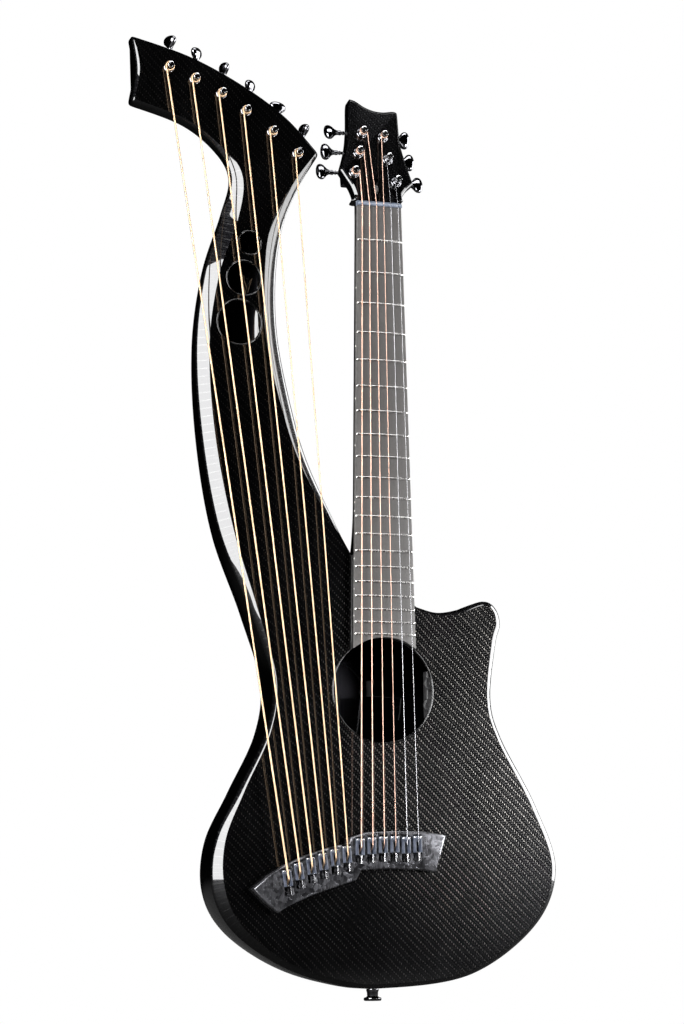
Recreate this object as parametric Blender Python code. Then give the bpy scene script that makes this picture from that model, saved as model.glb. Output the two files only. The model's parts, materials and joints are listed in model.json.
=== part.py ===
"""Harp guitar: a six-string guitar and six floating bass strings on one hollow carbon body."""
import bpy
import bmesh
from math import atan2, ceil, cos, pi, radians, sin, sqrt, tan
from mathutils import Matrix, Vector

mm = 0.001

# ---- driving dimensions (instrument frame: saddle line at z = 0, soundboard face at y = 0) ----
scale_length = 647.7 * mm          # nut to saddle
saddle_height = 160.0 * mm         # saddle line above the end pin's face
end_pin_depth = 46.0 * mm          # end pin axis behind the soundboard face
gap = 0.3 * mm                     # clearance between pieces that touch

top_thickness = 3.0 * mm
wall = 3.0 * mm
ledge_width = 5.0 * mm
ledge_thickness = 3.0 * mm
shoulder_depth = 12.0 * mm         # every bevel ends above this depth
side_share = 0.22                  # straight share of the side below the shoulder
span_steps = 2                     # stations made per span of the outline

sound_hole_radius = 52.6 * mm
sound_hole_z = 148.4 * mm
arm_holes = [(-137 * mm, 602 * mm, 11.8 * mm), (-143 * mm, 565 * mm, 17.6 * mm),
             (-148 * mm, 519 * mm, 22.8 * mm)]

head_depth = 19.0 * mm             # thickness of the harp arm's head
chamber_end_z = 664.0 * mm         # the hollow of the arm stops here
depth_profile = [(-160 * mm, 95 * mm), (200 * mm, 81.2 * mm), (430 * mm, 52 * mm),
                 (640 * mm, 24 * mm), (690 * mm, head_depth), (830 * mm, head_depth)]

neck_face = -4.0 * mm              # plane that the fingerboard is glued to
neck_depth = 17.0 * mm             # thickness of the neck behind that plane
neck_lip = 1.5 * mm                # the neck plate shows beside the fingerboard over the body
heel_start_z = 338.0 * mm
heel_depth = 46.0 * mm
heel_right = (38 * mm, 234 * mm)   # the body's straight shoulder, where the heel seats
heel_left = (-32 * mm, 287 * mm)
nut_length = 5.0 * mm
head_tilt = radians(10.0)
head_thickness = 14.0 * mm
head_start = 6.0 * mm              # from the nut line to the tilted face

board_thickness = 6.0 * mm
board_camber = 1.0 * mm
board_nut_width = 47.8 * mm
board_end_width = 64.9 * mm        # at the last fret
fret_count = 20
fret_width = 2.2 * mm
fret_height = 1.0 * mm

rod_width = 5.4 * mm
rod_depth = 6.0 * mm
rod_low_z = 345.0 * mm
rod_clear = 0.4 * mm

guitar_nut_spacing = 7.8 * mm
guitar_saddle_spacing = 12.0 * mm
guitar_string_at_nut = -12.0 * mm  # depth of a string's axis over the nut
guitar_string_at_saddle = -15.2 * mm
bass_string_at_saddle = -14.6 * mm
bass_string_at_post = -5.6 * mm
guitar_string_above_head = 7.0 * mm
guitar_radii = [0.66 * mm, 0.53 * mm, 0.42 * mm, 0.34 * mm, 0.22 * mm, 0.17 * mm]
bass_radii = [0.95 * mm, 0.90 * mm, 0.85 * mm, 0.80 * mm, 0.75 * mm, 0.70 * mm]
guitar_saddle_z = [-3.0 * mm, -2.0 * mm, -1.0 * mm, -0.5 * mm, -1.5 * mm, -0.5 * mm]
bass_saddles = [(-106.0 * mm, -33.5 * mm), (-94.0 * mm, -27.0 * mm), (-81.5 * mm, -21.5 * mm),
                (-69.0 * mm, -17.5 * mm), (-56.5 * mm, -13.5 * mm), (-44.0 * mm, -10.5 * mm)]
bass_posts = [(-221 * mm, 780 * mm), (-194 * mm, 770 * mm), (-166 * mm, 757 * mm),
              (-140 * mm, 741 * mm), (-112 * mm, 721 * mm), (-85 * mm, 700 * mm)]
bass_tilts = [-1.2, 0.6, 3.0, 5.9, 8.4, 10.8]          # degrees, each worm shaft from straight up
guitar_posts_left = [(-23.7 * mm, 31.6 * mm), (-17.4 * mm, 54.9 * mm), (-12.0 * mm, 78.2 * mm)]
guitar_posts_right = [(10.8 * mm, 75.2 * mm), (14.4 * mm, 49.8 * mm), (21.9 * mm, 24.5 * mm)]
button_turns = [112, 50, 98, 52, 10, 100, 8, 0, 18, 20, 5, 172]   # degrees at rest

bridge_top = -10.5 * mm
pocket_floor = -3.2 * mm
saddle_width = 8.8 * mm
saddle_front = 2.8 * mm
saddle_back = 13.4 * mm
saddle_slot = 3.4 * mm
slot_start = 2.6 * mm              # behind the crest
saddle_travel = 1.8 * mm           # each way along the string
saddle_ridge = 1.2 * mm
pocket_back = 22.0 * mm
string_drop_start = 6.4 * mm       # the string runs straight this far behind the crest
string_drop_end = 12.5 * mm

post_radius = 3.0 * mm
post_above_head = 10.5 * mm
gear_teeth = 14
gear_module = 0.7 * mm
gear_thickness = 2.6 * mm
gear_behind_head = 3.5 * mm        # middle of the gear, and the worm's axis
worm_pitch_radius = 2.4 * mm
worm_half_length = 3.7 * mm
tooth_share = 0.24                 # thickness of a tooth over its pitch
shaft_radius = 1.5 * mm
lug_thickness = 2.6 * mm
bearing_clear = 0.35 * mm
guitar_button_reach = 29.0 * mm    # post axis to the middle of the button
bass_button_reach = 34.5 * mm
button_length = 12.0 * mm
button_width = 16.5 * mm
button_thickness = 8.0 * mm

wheel_radius = 7.0 * mm
wheel_thickness = 3.0 * mm
wheel_centres = [(sound_hole_radius - 0.1 * mm, 156.5 * mm), (sound_hole_radius - 1.1 * mm, 134.5 * mm)]
wheel_clear = 0.9 * mm             # under the soundboard and over the housing
axle_radius = 1.4 * mm
preamp_depth = 11.0 * mm

pin_flange_radius = 9.0 * mm
pin_neck_radius = 5.5 * mm
pin_flange_thickness = 3.5 * mm
pin_shank_radius = 4.0 * mm
pin_shank_length = 18.0 * mm
button_pin_z = 60.0 * mm           # strap button on the back, under the neck block
gear_axial_pitch = pi * gear_module

# Stations of the body's outline, anticlockwise seen from the front:
# x, z, width of the front bevel, depth of the bevel's outer edge, inset of the back, corner
outline = [
    (-4, -147, 4, 4, 24, 0), (90, -135, 4, 4, 24, 0), (161, -87, 4, 4, 24, 0), (185, -30, 4, 4, 24, 0),
    (164, 34, 4, 4, 24, 0), (128, 102, 4, 4, 22, 0), (117.5, 142, 4, 4, 18, 0), (124, 198, 4, 4, 9, 0),
    (129.5, 219, 3.5, 4, 6, 0), (124, 236, 3.5, 4, 5.5, 0), (110, 242, 3.5, 4, 6, 0), (84, 233, 3.5, 4, 9, 0),
    (60, 229, 3, 3, 10, 0), (heel_right[0] / mm, heel_right[1] / mm, 2, 2, 10, 1),
    (heel_left[0] / mm, heel_left[1] / mm, 2, 2, 10, 1),
    (-47, 316, 5, 4, 14, 0), (-76, 381, 10, 7, 20, 0), (-92, 438, 13, 8.5, 22, 0), (-105, 505, 15, 9, 22, 0),
    (-107, 565, 15, 9, 20, 0), (-100, 620, 14, 8, 17, 0), (-84, 663, 8, 5, 11, 0),
    (-61, 702, 2, 2, 3, 1), (-96, 737.5, 2, 2, 4, 0), (-140, 767, 2, 2, 4, 0), (-198, 794, 2, 2, 4, 0),
    (-261, 811, 2, 2, 3, 1), (-255.5, 776, 2, 2, 3, 0), (-261, 741, 2, 2, 3, 1),
    (-205, 724.5, 2, 2, 4, 0), (-170, 699, 4, 3, 7, 0), (-155, 671, 11, 6.5, 12, 0), (-164, 632, 16, 9, 17, 0),
    (-183, 571, 14.5, 9, 20, 0), (-192.5, 494, 13, 8.5, 22, 0), (-187, 402, 13, 8.5, 22, 0),
    (-169.5, 308, 13.5, 8.5, 24, 0), (-138, 227, 7, 6, 24, 0), (-116.5, 160, 4.5, 4.5, 24, 0),
    (-122, 108, 4.5, 4.5, 24, 0), (-150, 50, 5.5, 5, 24, 0), (-174, 0, 9, 6.5, 24, 0), (-177, -49, 11, 7, 24, 0),
    (-157, -89, 9.5, 6.5, 24, 0), (-110.5, -122.5, 6, 5, 24, 0), (-58, -141, 5, 5, 24, 0)]

bridge_outline = [(-140, -49), (-124, -36), (-108, -26), (-87, -17), (-65, -10), (-41, -4.5), (-39, 1), (-22, 6),
                  (7, 7.5), (37, 7), (61, 3), (56, -14), (50, -33), (36, -31), (5, -30), (-28, -31),
                  (-34, -41), (-54, -47), (-81, -56), (-104, -66), (-114, -72), (-127, -62)]

head_outline = [(-23.8, -0.6), (-24, 6), (-25, 13.5), (-30.5, 22.5), (-38, 35), (-33, 49), (-29.5, 64),
                (-26.5, 85), (-24.5, 112), (-22, 118), (-15.5, 116), (-6, 110), (4, 106), (14, 106), (27, 108),
                (29, 106), (30, 88.5), (30, 70.5), (34, 52), (38, 36), (41.5, 24.7), (34, 17.6), (27.6, 8.4),
                (25, 3.4), (23.8, -0.6)]

for old in list(bpy.data.objects):
    bpy.data.objects.remove(old, do_unlink=True)


# ---- small helpers ----
def make_material(name, colour, roughness, metallic=0.0):
    material = bpy.data.materials.new(name)
    material.use_nodes = True
    shader = material.node_tree.nodes["Principled BSDF"]
    shader.inputs["Base Color"].default_value = (*colour, 1.0)
    shader.inputs["Roughness"].default_value = roughness
    shader.inputs["Metallic"].default_value = metallic
    return material


carbon = make_material("carbon_gloss", (0.012, 0.012, 0.013), 0.08)
carbon_top = make_material("carbon_top", (0.018, 0.018, 0.017), 0.10)
forged = make_material("forged_carbon", (0.06, 0.06, 0.065), 0.25)
board_black = make_material("fingerboard_composite", (0.05, 0.048, 0.05), 0.45)
nut_grey = make_material("nut_composite", (0.16, 0.19, 0.25), 0.4)
saddle_grey = make_material("saddle_composite", (0.13, 0.17, 0.25), 0.38)
chrome = make_material("black_chrome", (0.09, 0.09, 0.10), 0.14, 1.0)
steel = make_material("plain_steel", (0.62, 0.62, 0.60), 0.25, 1.0)
bronze = make_material("phosphor_bronze", (0.62, 0.42, 0.28), 0.32, 1.0)
gold_bronze = make_material("bronze_bass", (0.72, 0.55, 0.32), 0.32, 1.0)
plastic = make_material("black_plastic", (0.02, 0.02, 0.02), 0.5)


def empty(name, location, rotation=Matrix.Identity(3), parent=None):
    holder = bpy.data.objects.new(name, None)
    holder.matrix_local = Matrix.Translation(location) @ rotation.to_4x4()
    holder.parent = parent
    bpy.context.collection.objects.link(holder)
    return holder


instrument = empty("instrument", (0, -end_pin_depth, saddle_height))


def mesh_from(bm, name, smooth_angle=35.0):
    bmesh.ops.recalc_face_normals(bm, faces=bm.faces)
    mesh = bpy.data.meshes.new(name)
    bm.to_mesh(mesh)
    bm.free()
    mesh.shade_smooth()
    mesh.set_sharp_from_angle(angle=radians(smooth_angle))
    return mesh


def place(name, mesh, material, parent=instrument, location=(0, 0, 0), rotation=Matrix.Identity(3)):
    piece = bpy.data.objects.new(name, mesh)
    if material and not mesh.materials:
        mesh.materials.append(material)
    piece.parent = parent
    piece.matrix_local = Matrix.Translation(location) @ rotation.to_4x4()
    bpy.context.collection.objects.link(piece)
    return piece


def hide(piece):
    piece.hide_render = True
    piece.display_type = "WIRE"


def boolean(piece, other, operation="DIFFERENCE"):
    modifier = piece.modifiers.new(f"{operation.lower()}_{other.name}", "BOOLEAN")
    modifier.operation = operation
    modifier.solver = "EXACT"
    modifier.object = other


def ring(bm, points):
    return [bm.verts.new(p) for p in points]


def bridge_rings(bm, rings, close=True):
    """Joins rings of equal length with quads and caps the first and the last."""
    for low, high in zip(rings, rings[1:]):
        count = len(low)
        for i in range(count):
            j = (i + 1) % count
            bm.faces.new((low[i], low[j], high[j], high[i]))
    if close:
        bm.faces.new(rings[0])
        bm.faces.new(list(reversed(rings[-1])))


def prism(bm, points, low, high, axis=Vector((0, 1, 0))):
    """Closed prism: points lie in the plane of the low end, the axis carries them up."""
    bridge_rings(bm, [ring(bm, [Vector(p) + axis * low for p in points]),
                      ring(bm, [Vector(p) + axis * high for p in points])])


def plate(bm, points, front, back):
    prism(bm, [(x, 0, z) for x, z in points], front, back)


def cylinder(bm, start, end, radius, sides=12):
    start = Vector(start)
    end = Vector(end)
    turn = (end - start).to_track_quat("Z", "Y")
    circle = [turn @ Vector((radius * cos(2 * pi * k / sides), radius * sin(2 * pi * k / sides), 0))
              for k in range(sides)]
    bridge_rings(bm, [ring(bm, [start + p for p in circle]), ring(bm, [end + p for p in circle])])


def cuboid(bm, low, high, turn=Matrix.Identity(3), origin=Vector((0, 0, 0))):
    corners = [(low[0], low[2]), (high[0], low[2]), (high[0], high[2]), (low[0], high[2])]
    rings = [ring(bm, [origin + turn @ Vector((x, y, z)) for x, z in corners]) for y in (low[1], high[1])]
    bridge_rings(bm, rings)


def turned(bm, profile, axis_turn=Matrix.Identity(3), sides=12, squash=None):
    """A turned piece along local Z: profile is (z, radius); squash gives an ellipse's two half widths."""
    rings = []
    for z, radius in profile:
        wide, thin = squash(z, radius) if squash else (radius, radius)
        rings.append(ring(bm, [axis_turn @ Vector((wide * cos(2 * pi * k / sides),
                                                   thin * sin(2 * pi * k / sides), z))
                               for k in range(sides)]))
    bridge_rings(bm, rings)


# ---- the body's outline ----
def catmull(p0, p1, p2, p3, t):
    return tuple(0.5 * (2 * b + (c - a) * t + (2 * a - 5 * b + 4 * c - d) * t * t
                        + (3 * b - a - 3 * c + d) * t ** 3) for a, b, c, d in zip(p0, p1, p2, p3))


def smooth_stations(points, steps):
    """Round stretches between corner stations follow a spline through them."""
    count = len(points)
    stations = []
    for i in range(count):
        here = points[i]
        after = points[(i + 1) % count]
        before = here if here[5] else points[i - 1]
        beyond = after if after[5] else points[(i + 2) % count]
        for k in range(steps):
            stations.append(catmull(before[:5], here[:5], after[:5], beyond[:5], k / steps)
                            + (here[5] if k == 0 else 0,))
    return [(x * mm, z * mm, bevel * mm, drop * mm, inset * mm, corner)
            for x, z, bevel, drop, inset, corner in stations]


stations = smooth_stations(outline, span_steps)


def inward(stations, i):
    """Unit direction into the body at a station, longer at a corner so that offsets stay parallel."""
    x, z = stations[i][:2]
    before = stations[i - 1]
    after = stations[(i + 1) % len(stations)]
    one = Vector((x - before[0], z - before[1])).normalized()
    two = Vector((after[0] - x, after[1] - z)).normalized()
    middle = Vector((-(one + two).y, (one + two).x)).normalized()
    return middle / max(0.6, middle.dot(Vector((-one.y, one.x))))


def body_depth(z):
    for (z0, d0), (z1, d1) in zip(depth_profile, depth_profile[1:]):
        if z <= z1:
            return d0 + (d1 - d0) * max(0.0, (z - z0) / (z1 - z0))
    return depth_profile[-1][1]


full_depth = depth_profile[0][1]


def offset_ring(bm, inset_of, depth_of):
    """A ring of the outline: its inset and depth are worked out from each station."""
    points = []
    for i, station in enumerate(stations):
        inside = inward(stations, i) * inset_of(station)
        points.append((station[0] + inside.x, depth_of(station), station[1] + inside.y))
    return ring(bm, points)


def back_curve(steps):
    """Side and rounded back edge: share of the depth below the shoulder, share of the back inset."""
    curve = [(side_share, 0.0)]
    for k in range(1, steps + 1):
        angle = 0.5 * pi * k / steps
        curve.append((side_share + (1 - side_share) * sin(angle), 1 - cos(angle)))
    return curve


def shape_depth(bm, inner_wall=0.0):
    """Gives the straight-sided blank its tapering back: a flat field between each two depth lines."""
    for z, _ in depth_profile[1:-1]:
        bmesh.ops.bisect_plane(bm, geom=bm.verts[:] + bm.edges[:] + bm.faces[:], plane_co=(0, 0, z),
                               plane_no=(0, 0, 1), dist=1e-7)
    for vert in bm.verts:
        if vert.co.y > shoulder_depth:
            share = (vert.co.y - shoulder_depth) / (full_depth - shoulder_depth)
            vert.co.y = shoulder_depth + share * (body_depth(vert.co.z) - inner_wall - shoulder_depth)


def below_shoulder(share):
    return shoulder_depth + share * (full_depth - shoulder_depth)


def shell_blank():
    bm = bmesh.new()
    rings = [offset_ring(bm, lambda s: s[2], lambda s: top_thickness + gap),
             offset_ring(bm, lambda s: s[2], lambda s: 0.0),
             offset_ring(bm, lambda s: 0.0, lambda s: s[3])]
    for share, inset in back_curve(3):
        rings.append(offset_ring(bm, lambda s, inset=inset: s[4] * inset,
                                 lambda s, share=share: below_shoulder(share)))
    bridge_rings(bm, rings)
    shape_depth(bm)
    return mesh_from(bm, "body_shell")


def chamber_blank():
    """The hollow: it opens through the ledge that carries the soundboard and stops below the arm's head."""
    bm = bmesh.new()
    lip = top_thickness + gap
    rings = [offset_ring(bm, lambda s: s[2] + ledge_width, lambda s: lip - 2 * mm),
             offset_ring(bm, lambda s: s[2] + ledge_width, lambda s: lip + ledge_thickness),
             offset_ring(bm, lambda s: wall, lambda s: shoulder_depth)]
    for share, inset in back_curve(2):
        rings.append(offset_ring(bm, lambda s, inset=inset: wall + s[4] * inset,
                                 lambda s, share=share: below_shoulder(share)))
    bridge_rings(bm, rings)
    shape_depth(bm, wall)
    cut = bmesh.ops.bisect_plane(bm, geom=bm.verts[:] + bm.edges[:] + bm.faces[:], plane_co=(0, 0, chamber_end_z),
                                 plane_no=(0, 0, 1), clear_outer=True, dist=1e-7)
    rim = [edge for edge in cut["geom_cut"] if isinstance(edge, bmesh.types.BMEdge)]
    bmesh.ops.holes_fill(bm, edges=rim, sides=0)
    return mesh_from(bm, "chamber")


# ---- tuning machines ----
worm_distance = worm_pitch_radius + gear_teeth * gear_module / 2


def post_mesh(name, head_back):
    """Post, spool end and worm wheel in one turned and toothed piece, axis along Y."""
    bm = bmesh.new()
    pitch_radius = gear_teeth * gear_module / 2
    root = pitch_radius - 1.25 * gear_module
    tip = pitch_radius + 0.8 * gear_module
    sides = gear_teeth
    along = Matrix.Rotation(-pi / 2, 3, "X")
    wheel_front = head_back + gear_behind_head - gear_thickness / 2
    turned(bm, [(-post_above_head, post_radius * 0.8), (-post_above_head + 0.8 * mm, post_radius),
                (wheel_front - 0.6 * mm, post_radius), (wheel_front, root * 0.8)], along, sides)
    cap = [face for face in bm.faces if abs(face.calc_center_median().y - wheel_front) < 1e-7][0]
    bm.faces.remove(cap)
    bm.verts.ensure_lookup_table()
    inner = [vert for vert in bm.verts if abs(vert.co.y - wheel_front) < 1e-7]
    inner.sort(key=lambda v: atan2(v.co.z, v.co.x))
    teeth = []
    for k in range(gear_teeth):
        middle = 2 * pi * k / gear_teeth
        for half, radius in ((-1.9, root), (-0.75, tip), (0.75, tip), (1.9, root)):
            angle = middle + half * tooth_share * pi / gear_teeth
            teeth.append((radius * cos(angle), radius * sin(angle)))
    front = ring(bm, [(x, wheel_front, z) for x, z in teeth])
    back = ring(bm, [(x, wheel_front + gear_thickness, z) for x, z in teeth])
    bridge_rings(bm, [front, back], close=False)
    bm.faces.new(back)
    bm.edges.index_update()
    loops = []
    for group in (inner, front):
        loops += [bm.edges.get((group[i], group[(i + 1) % len(group)]))
                  or bm.edges.new((group[i], group[(i + 1) % len(group)])) for i in range(len(group))]
    bmesh.ops.triangle_fill(bm, edges=loops, use_beauty=True)
    return mesh_from(bm, name)


def worm_radius(z, angle):
    """Helical thread: the crest follows the angle round, one pitch a turn."""
    phase = (z / gear_axial_pitch - angle / (2 * pi)) % 1.0 - 0.5
    crest = tooth_share * 0.5
    slope = tooth_share * 0.65
    share = min(1.0, max(0.0, (crest + slope - abs(phase)) / slope))
    return worm_pitch_radius - 1.2 * gear_module + 1.9 * gear_module * share


def button_mesh(name, reach):
    """Worm, shaft and oval button, axis along Z."""
    bm = bmesh.new()
    sides = 8
    middle = reach
    half = button_length / 2
    rows = []
    inner_end = -worm_half_length - lug_thickness + 0.4 * mm
    rows.append((inner_end, shaft_radius, shaft_radius))
    rows.append((-worm_half_length - 0.01 * mm, shaft_radius, shaft_radius))
    worm_rows = 14
    for k in range(worm_rows + 1):
        rows.append((-worm_half_length + 2 * worm_half_length * k / worm_rows, None, None))
    rows.append((worm_half_length + 0.01 * mm, shaft_radius, shaft_radius))
    rows.append((middle - half - 2.5 * mm, shaft_radius, shaft_radius))
    rows.append((middle - half, 2.3 * mm, 2.3 * mm))
    for angle in (-50, -15, 20, 55, 80):
        wide = button_width / 2 * cos(radians(angle))
        thin = button_thickness / 2 * cos(radians(angle)) ** 0.6
        rows.append((middle + half * sin(radians(angle)), wide, thin))
    rings = []
    for z, wide, thin in rows:
        points = []
        for k in range(sides):
            angle = 2 * pi * k / sides
            across = wide if wide is not None else worm_radius(z, angle)
            deep = thin if thin is not None else across
            points.append((across * cos(angle), deep * sin(angle), z))
        rings.append(ring(bm, points))
    bridge_rings(bm, rings)
    return mesh_from(bm, name)


def machine_lugs(lugs, bores, posts, frame_matrix, side, head_back):
    """Bearing lugs behind the head, their shaft bore and the post's bore."""
    turn = frame_matrix.to_3x3()
    origin = frame_matrix.to_translation()
    worm_x = side * worm_distance
    depth = head_back + gear_behind_head
    half = shaft_radius + 1.7 * mm
    for low in (-worm_half_length - bearing_clear - lug_thickness, worm_half_length + bearing_clear):
        cuboid(lugs, (worm_x - half, head_back - 2 * mm, low),
               (worm_x + half, depth + half, low + lug_thickness),
               turn, origin)
    start = Vector((worm_x, depth, -worm_half_length - lug_thickness + 0.1 * mm))
    end = Vector((worm_x, depth, worm_half_length + bearing_clear + lug_thickness + 3 * mm))
    cylinder(bores, origin + turn @ start, origin + turn @ end, shaft_radius + bearing_clear, 10)
    cylinder(posts, origin + turn @ Vector((0, -5 * mm, 0)), origin + turn @ Vector((0, head_back + 2 * mm, 0)),
             post_radius + bearing_clear, 12)


# ---- frames that the pieces stand in ----
head_turn = Matrix.Rotation(-head_tilt, 3, "X")
head_origin = Vector((0, neck_face, scale_length + head_start))


def on_head(x, y, z):
    """A point given in the tilted head's plane, in the instrument frame."""
    return head_origin + head_turn @ Vector((x, y, z))


machines = []
for i, (x, z) in enumerate(bass_posts):
    angle = radians(bass_tilts[i])
    machines.append(dict(name=f"bass_{i + 1}", head=False, at=(x, 0, z),
                         out=(sin(angle), 0, cos(angle)), side=1))
for i, (x, z) in enumerate(guitar_posts_left):
    machines.append(dict(name=f"guitar_{6 - i}", head=True, at=(x, 0, z), out=(-1, 0, 0), side=1))
for i, (x, z) in enumerate(guitar_posts_right):
    machines.append(dict(name=f"guitar_{3 - i}", head=True, at=(x, 0, z), out=(1, 0, 0), side=-1))


# ---- body shell and soundboard ----
def machine_matrix(machine):
    z_axis = Vector(machine["out"]).normalized()
    y_axis = Vector((0, 1, 0))
    rotation = Matrix((y_axis.cross(z_axis), y_axis, z_axis)).transposed()
    local = Matrix.Translation(machine["at"]) @ rotation.to_4x4()
    if machine["head"]:
        return Matrix.Translation(head_origin) @ head_turn.to_4x4() @ local
    return local


def fit_machines(carrier, on_the_head, head_back):
    """Adds the lugs and bores of the machines to the piece that carries them."""
    lugs = bmesh.new()
    bores = bmesh.new()
    posts = bmesh.new()
    for machine in machines:
        if machine["head"] == on_the_head:
            machine_lugs(lugs, bores, posts, machine_matrix(machine), machine["side"], head_back)
    for bm, name, operation in ((lugs, "lugs", "UNION"), (bores, "shaft_bores", "DIFFERENCE"),
                                (posts, "post_bores", "DIFFERENCE")):
        tool = place(f"{carrier.name}_{name}", mesh_from(bm, name), None)
        hide(tool)
        boolean(carrier, tool, operation)
    return tool


body_shell = place("body_shell", shell_blank(), carbon)
chamber = place("chamber_cutter", chamber_blank(), None)
hide(chamber)
boolean(body_shell, chamber)
arm_post_bores = fit_machines(body_shell, False, head_depth)

pin_bore = bmesh.new()
cylinder(pin_bore, (0, end_pin_depth, -170 * mm), (0, end_pin_depth, -120 * mm), pin_shank_radius + gap, 16)
pin_cutter = place("pin_cutter", mesh_from(pin_bore, "pin_cutter"), None)
hide(pin_cutter)
boolean(body_shell, pin_cutter)


def top_outline():
    points = []
    for i, station in enumerate(stations):
        inside = inward(stations, i) * (station[2] + gap)
        points.append((station[0] + inside.x, station[1] + inside.y))
    return points


board = bmesh.new()
plate(board, top_outline(), 0.0, top_thickness)
soundboard = place("soundboard", mesh_from(board, "soundboard"), carbon_top)
openings = bmesh.new()
cylinder(openings, (0, -5 * mm, sound_hole_z), (0, 10 * mm, sound_hole_z), sound_hole_radius, 48)
for x, z, radius in arm_holes:
    cylinder(openings, (x, -5 * mm, z), (x, 10 * mm, z), radius, 30)
holes = place("hole_cutter", mesh_from(openings, "hole_cutter"), None)
hide(holes)
boolean(soundboard, holes)
boolean(soundboard, arm_post_bores)


# ---- neck, headstock, fingerboard and nut ----
def board_half_width(z):
    last_fret = scale_length / 2 ** (fret_count / 12)
    share = (scale_length - z) / (scale_length - last_fret)
    return 0.5 * (board_nut_width + (board_end_width - board_nut_width) * share)


def hole_arc(x, clear=0.0):
    """Edge of the fingerboard and neck plate over the sound hole."""
    radius = sound_hole_radius + clear
    return sound_hole_z + sqrt(max(0.0, radius ** 2 - x ** 2))


def heel_swell(z):
    """How deep the neck is behind its face, growing into the heel."""
    share = min(1.0, max(0.0, (heel_start_z - z) / (heel_start_z - heel_left[1])))
    return neck_depth + (heel_depth + neck_face - neck_depth) * share * share


def neck_shaft():
    """Neck and heel: flat face, round back, in sections down the neck."""
    bm = bmesh.new()
    rings = []
    levels = [scale_length + head_start + 7 * mm, scale_length + nut_length, 0.5 * (scale_length + heel_start_z),
              heel_start_z, heel_start_z - 18 * mm, heel_start_z - 34 * mm, heel_left[1], heel_right[1] - 6 * mm]
    for z in levels:
        half = board_half_width(min(z, scale_length))
        deep = heel_swell(z)
        front = neck_face
        if z > scale_length:
            front = on_head(0, 0.4 * mm, z - scale_length - head_start).y
        points = [(half, front, z)]
        for k in range(0, 9):
            angle = pi * k / 8
            points.append((half * cos(angle), front + 2.5 * mm + (deep - 2.5 * mm) * sin(angle) ** 0.8, z))
        points.append((-half, front, z))
        rings.append(ring(bm, points))
    bridge_rings(bm, rings)
    return mesh_from(bm, "neck")


neck = place("neck", neck_shaft(), carbon)

along = Vector((heel_left[0] - heel_right[0], 0, heel_left[1] - heel_right[1])).normalized()
outward = Vector((along.z, 0, -along.x))
shoulder = bmesh.new()
corner = Vector((heel_right[0], 0, heel_right[1])) + outward * gap
far = 150 * mm
front_gap = -gap
points = [corner - along * far, corner + along * far, corner + along * far - outward * far,
          corner - along * far - outward * far]
prism(shoulder, [(p.x, 0, p.z) for p in points], front_gap, far)
shoulder_cutter = place("shoulder_cutter", mesh_from(shoulder, "shoulder_cutter"), None)
hide(shoulder_cutter)

slab = bmesh.new()
side_points = []
for z in (heel_left[1] - 3 * mm, 260 * mm, 230 * mm, 205 * mm):
    side_points.append((board_half_width(z) + neck_lip, z))
end_half = board_half_width(200 * mm) + neck_lip
arc = [(end_half * cos(pi * k / 10), hole_arc(end_half * cos(pi * k / 10))) for k in range(0, 11)]
plate_points = side_points + arc + [(-x, z) for x, z in reversed(side_points)]
plate(slab, plate_points, neck_face, -gap)
neck_plate = place("neck_plate", mesh_from(slab, "neck_plate"), None)
hide(neck_plate)

head = bmesh.new()
plate(head, [(x * mm, z * mm) for x, z in head_outline], 0.0, head_thickness)
head.transform(Matrix.Translation(head_origin) @ head_turn.to_4x4())
head_blank = place("head_blank", mesh_from(head, "head_blank"), None)
hide(head_blank)

rod_groove = bmesh.new()
cuboid(rod_groove, (-rod_width / 2 - rod_clear, neck_face - 1 * mm, rod_low_z - rod_clear),
       (rod_width / 2 + rod_clear, neck_face + rod_depth + rod_clear, scale_length + head_start + 16 * mm))
groove_cutter = place("rod_groove", mesh_from(rod_groove, "rod_groove"), None)
hide(groove_cutter)

boolean(neck, shoulder_cutter)
boolean(neck, neck_plate, "UNION")
boolean(neck, head_blank, "UNION")
fit_machines(neck, True, head_thickness)
boolean(neck, groove_cutter)


def fingerboard_mesh():
    """Cambered board with its frets: the long profile repeats across the board."""
    bm = bmesh.new()
    levels = [(scale_length - gap, 0.0)]
    for n in range(1, fret_count + 1):
        z = scale_length / 2 ** (n / 12)
        levels += [(z + fret_width / 2, 0.0), (z + fret_width / 4, fret_height),
                   (z - fret_width / 4, fret_height),
                   (z - fret_width / 2, 0.0)]
    rows = []
    bottom = neck_face - gap
    for share in (-1.0, -0.5, 0.0, 0.5, 1.0):
        row = []
        for z, lift in levels:
            x = share * board_half_width(z)
            crown = board_camber * (1 - share * share)
            row.append((x, bottom - board_thickness + board_camber - crown - lift, z))
        x = share * (board_half_width(levels[-1][0]) + 0.2 * mm)
        end = hole_arc(x)
        row.append((x, bottom - board_thickness + board_camber * share * share, end))
        row.append((x, bottom, end))
        row.append((share * board_half_width(scale_length), bottom, scale_length - gap))
        rows.append(ring(bm, row))
    bridge_rings(bm, rows)
    return mesh_from(bm, "fingerboard", 20)


fingerboard = place("fingerboard", fingerboard_mesh(), board_black)

nut_block = bmesh.new()
nut_top = guitar_string_at_nut + guitar_radii[0] + gap
profile = [(neck_face - gap, scale_length), (nut_top, scale_length), (nut_top, scale_length + 1.6 * mm),
           (nut_top + 2.0 * mm, scale_length + nut_length), (neck_face - gap, scale_length + nut_length)]
prism(nut_block, [(0, y, z) for y, z in profile], -board_nut_width / 2, board_nut_width / 2, Vector((1, 0, 0)))
nut = place("nut", mesh_from(nut_block, "nut"), nut_grey)

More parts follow.
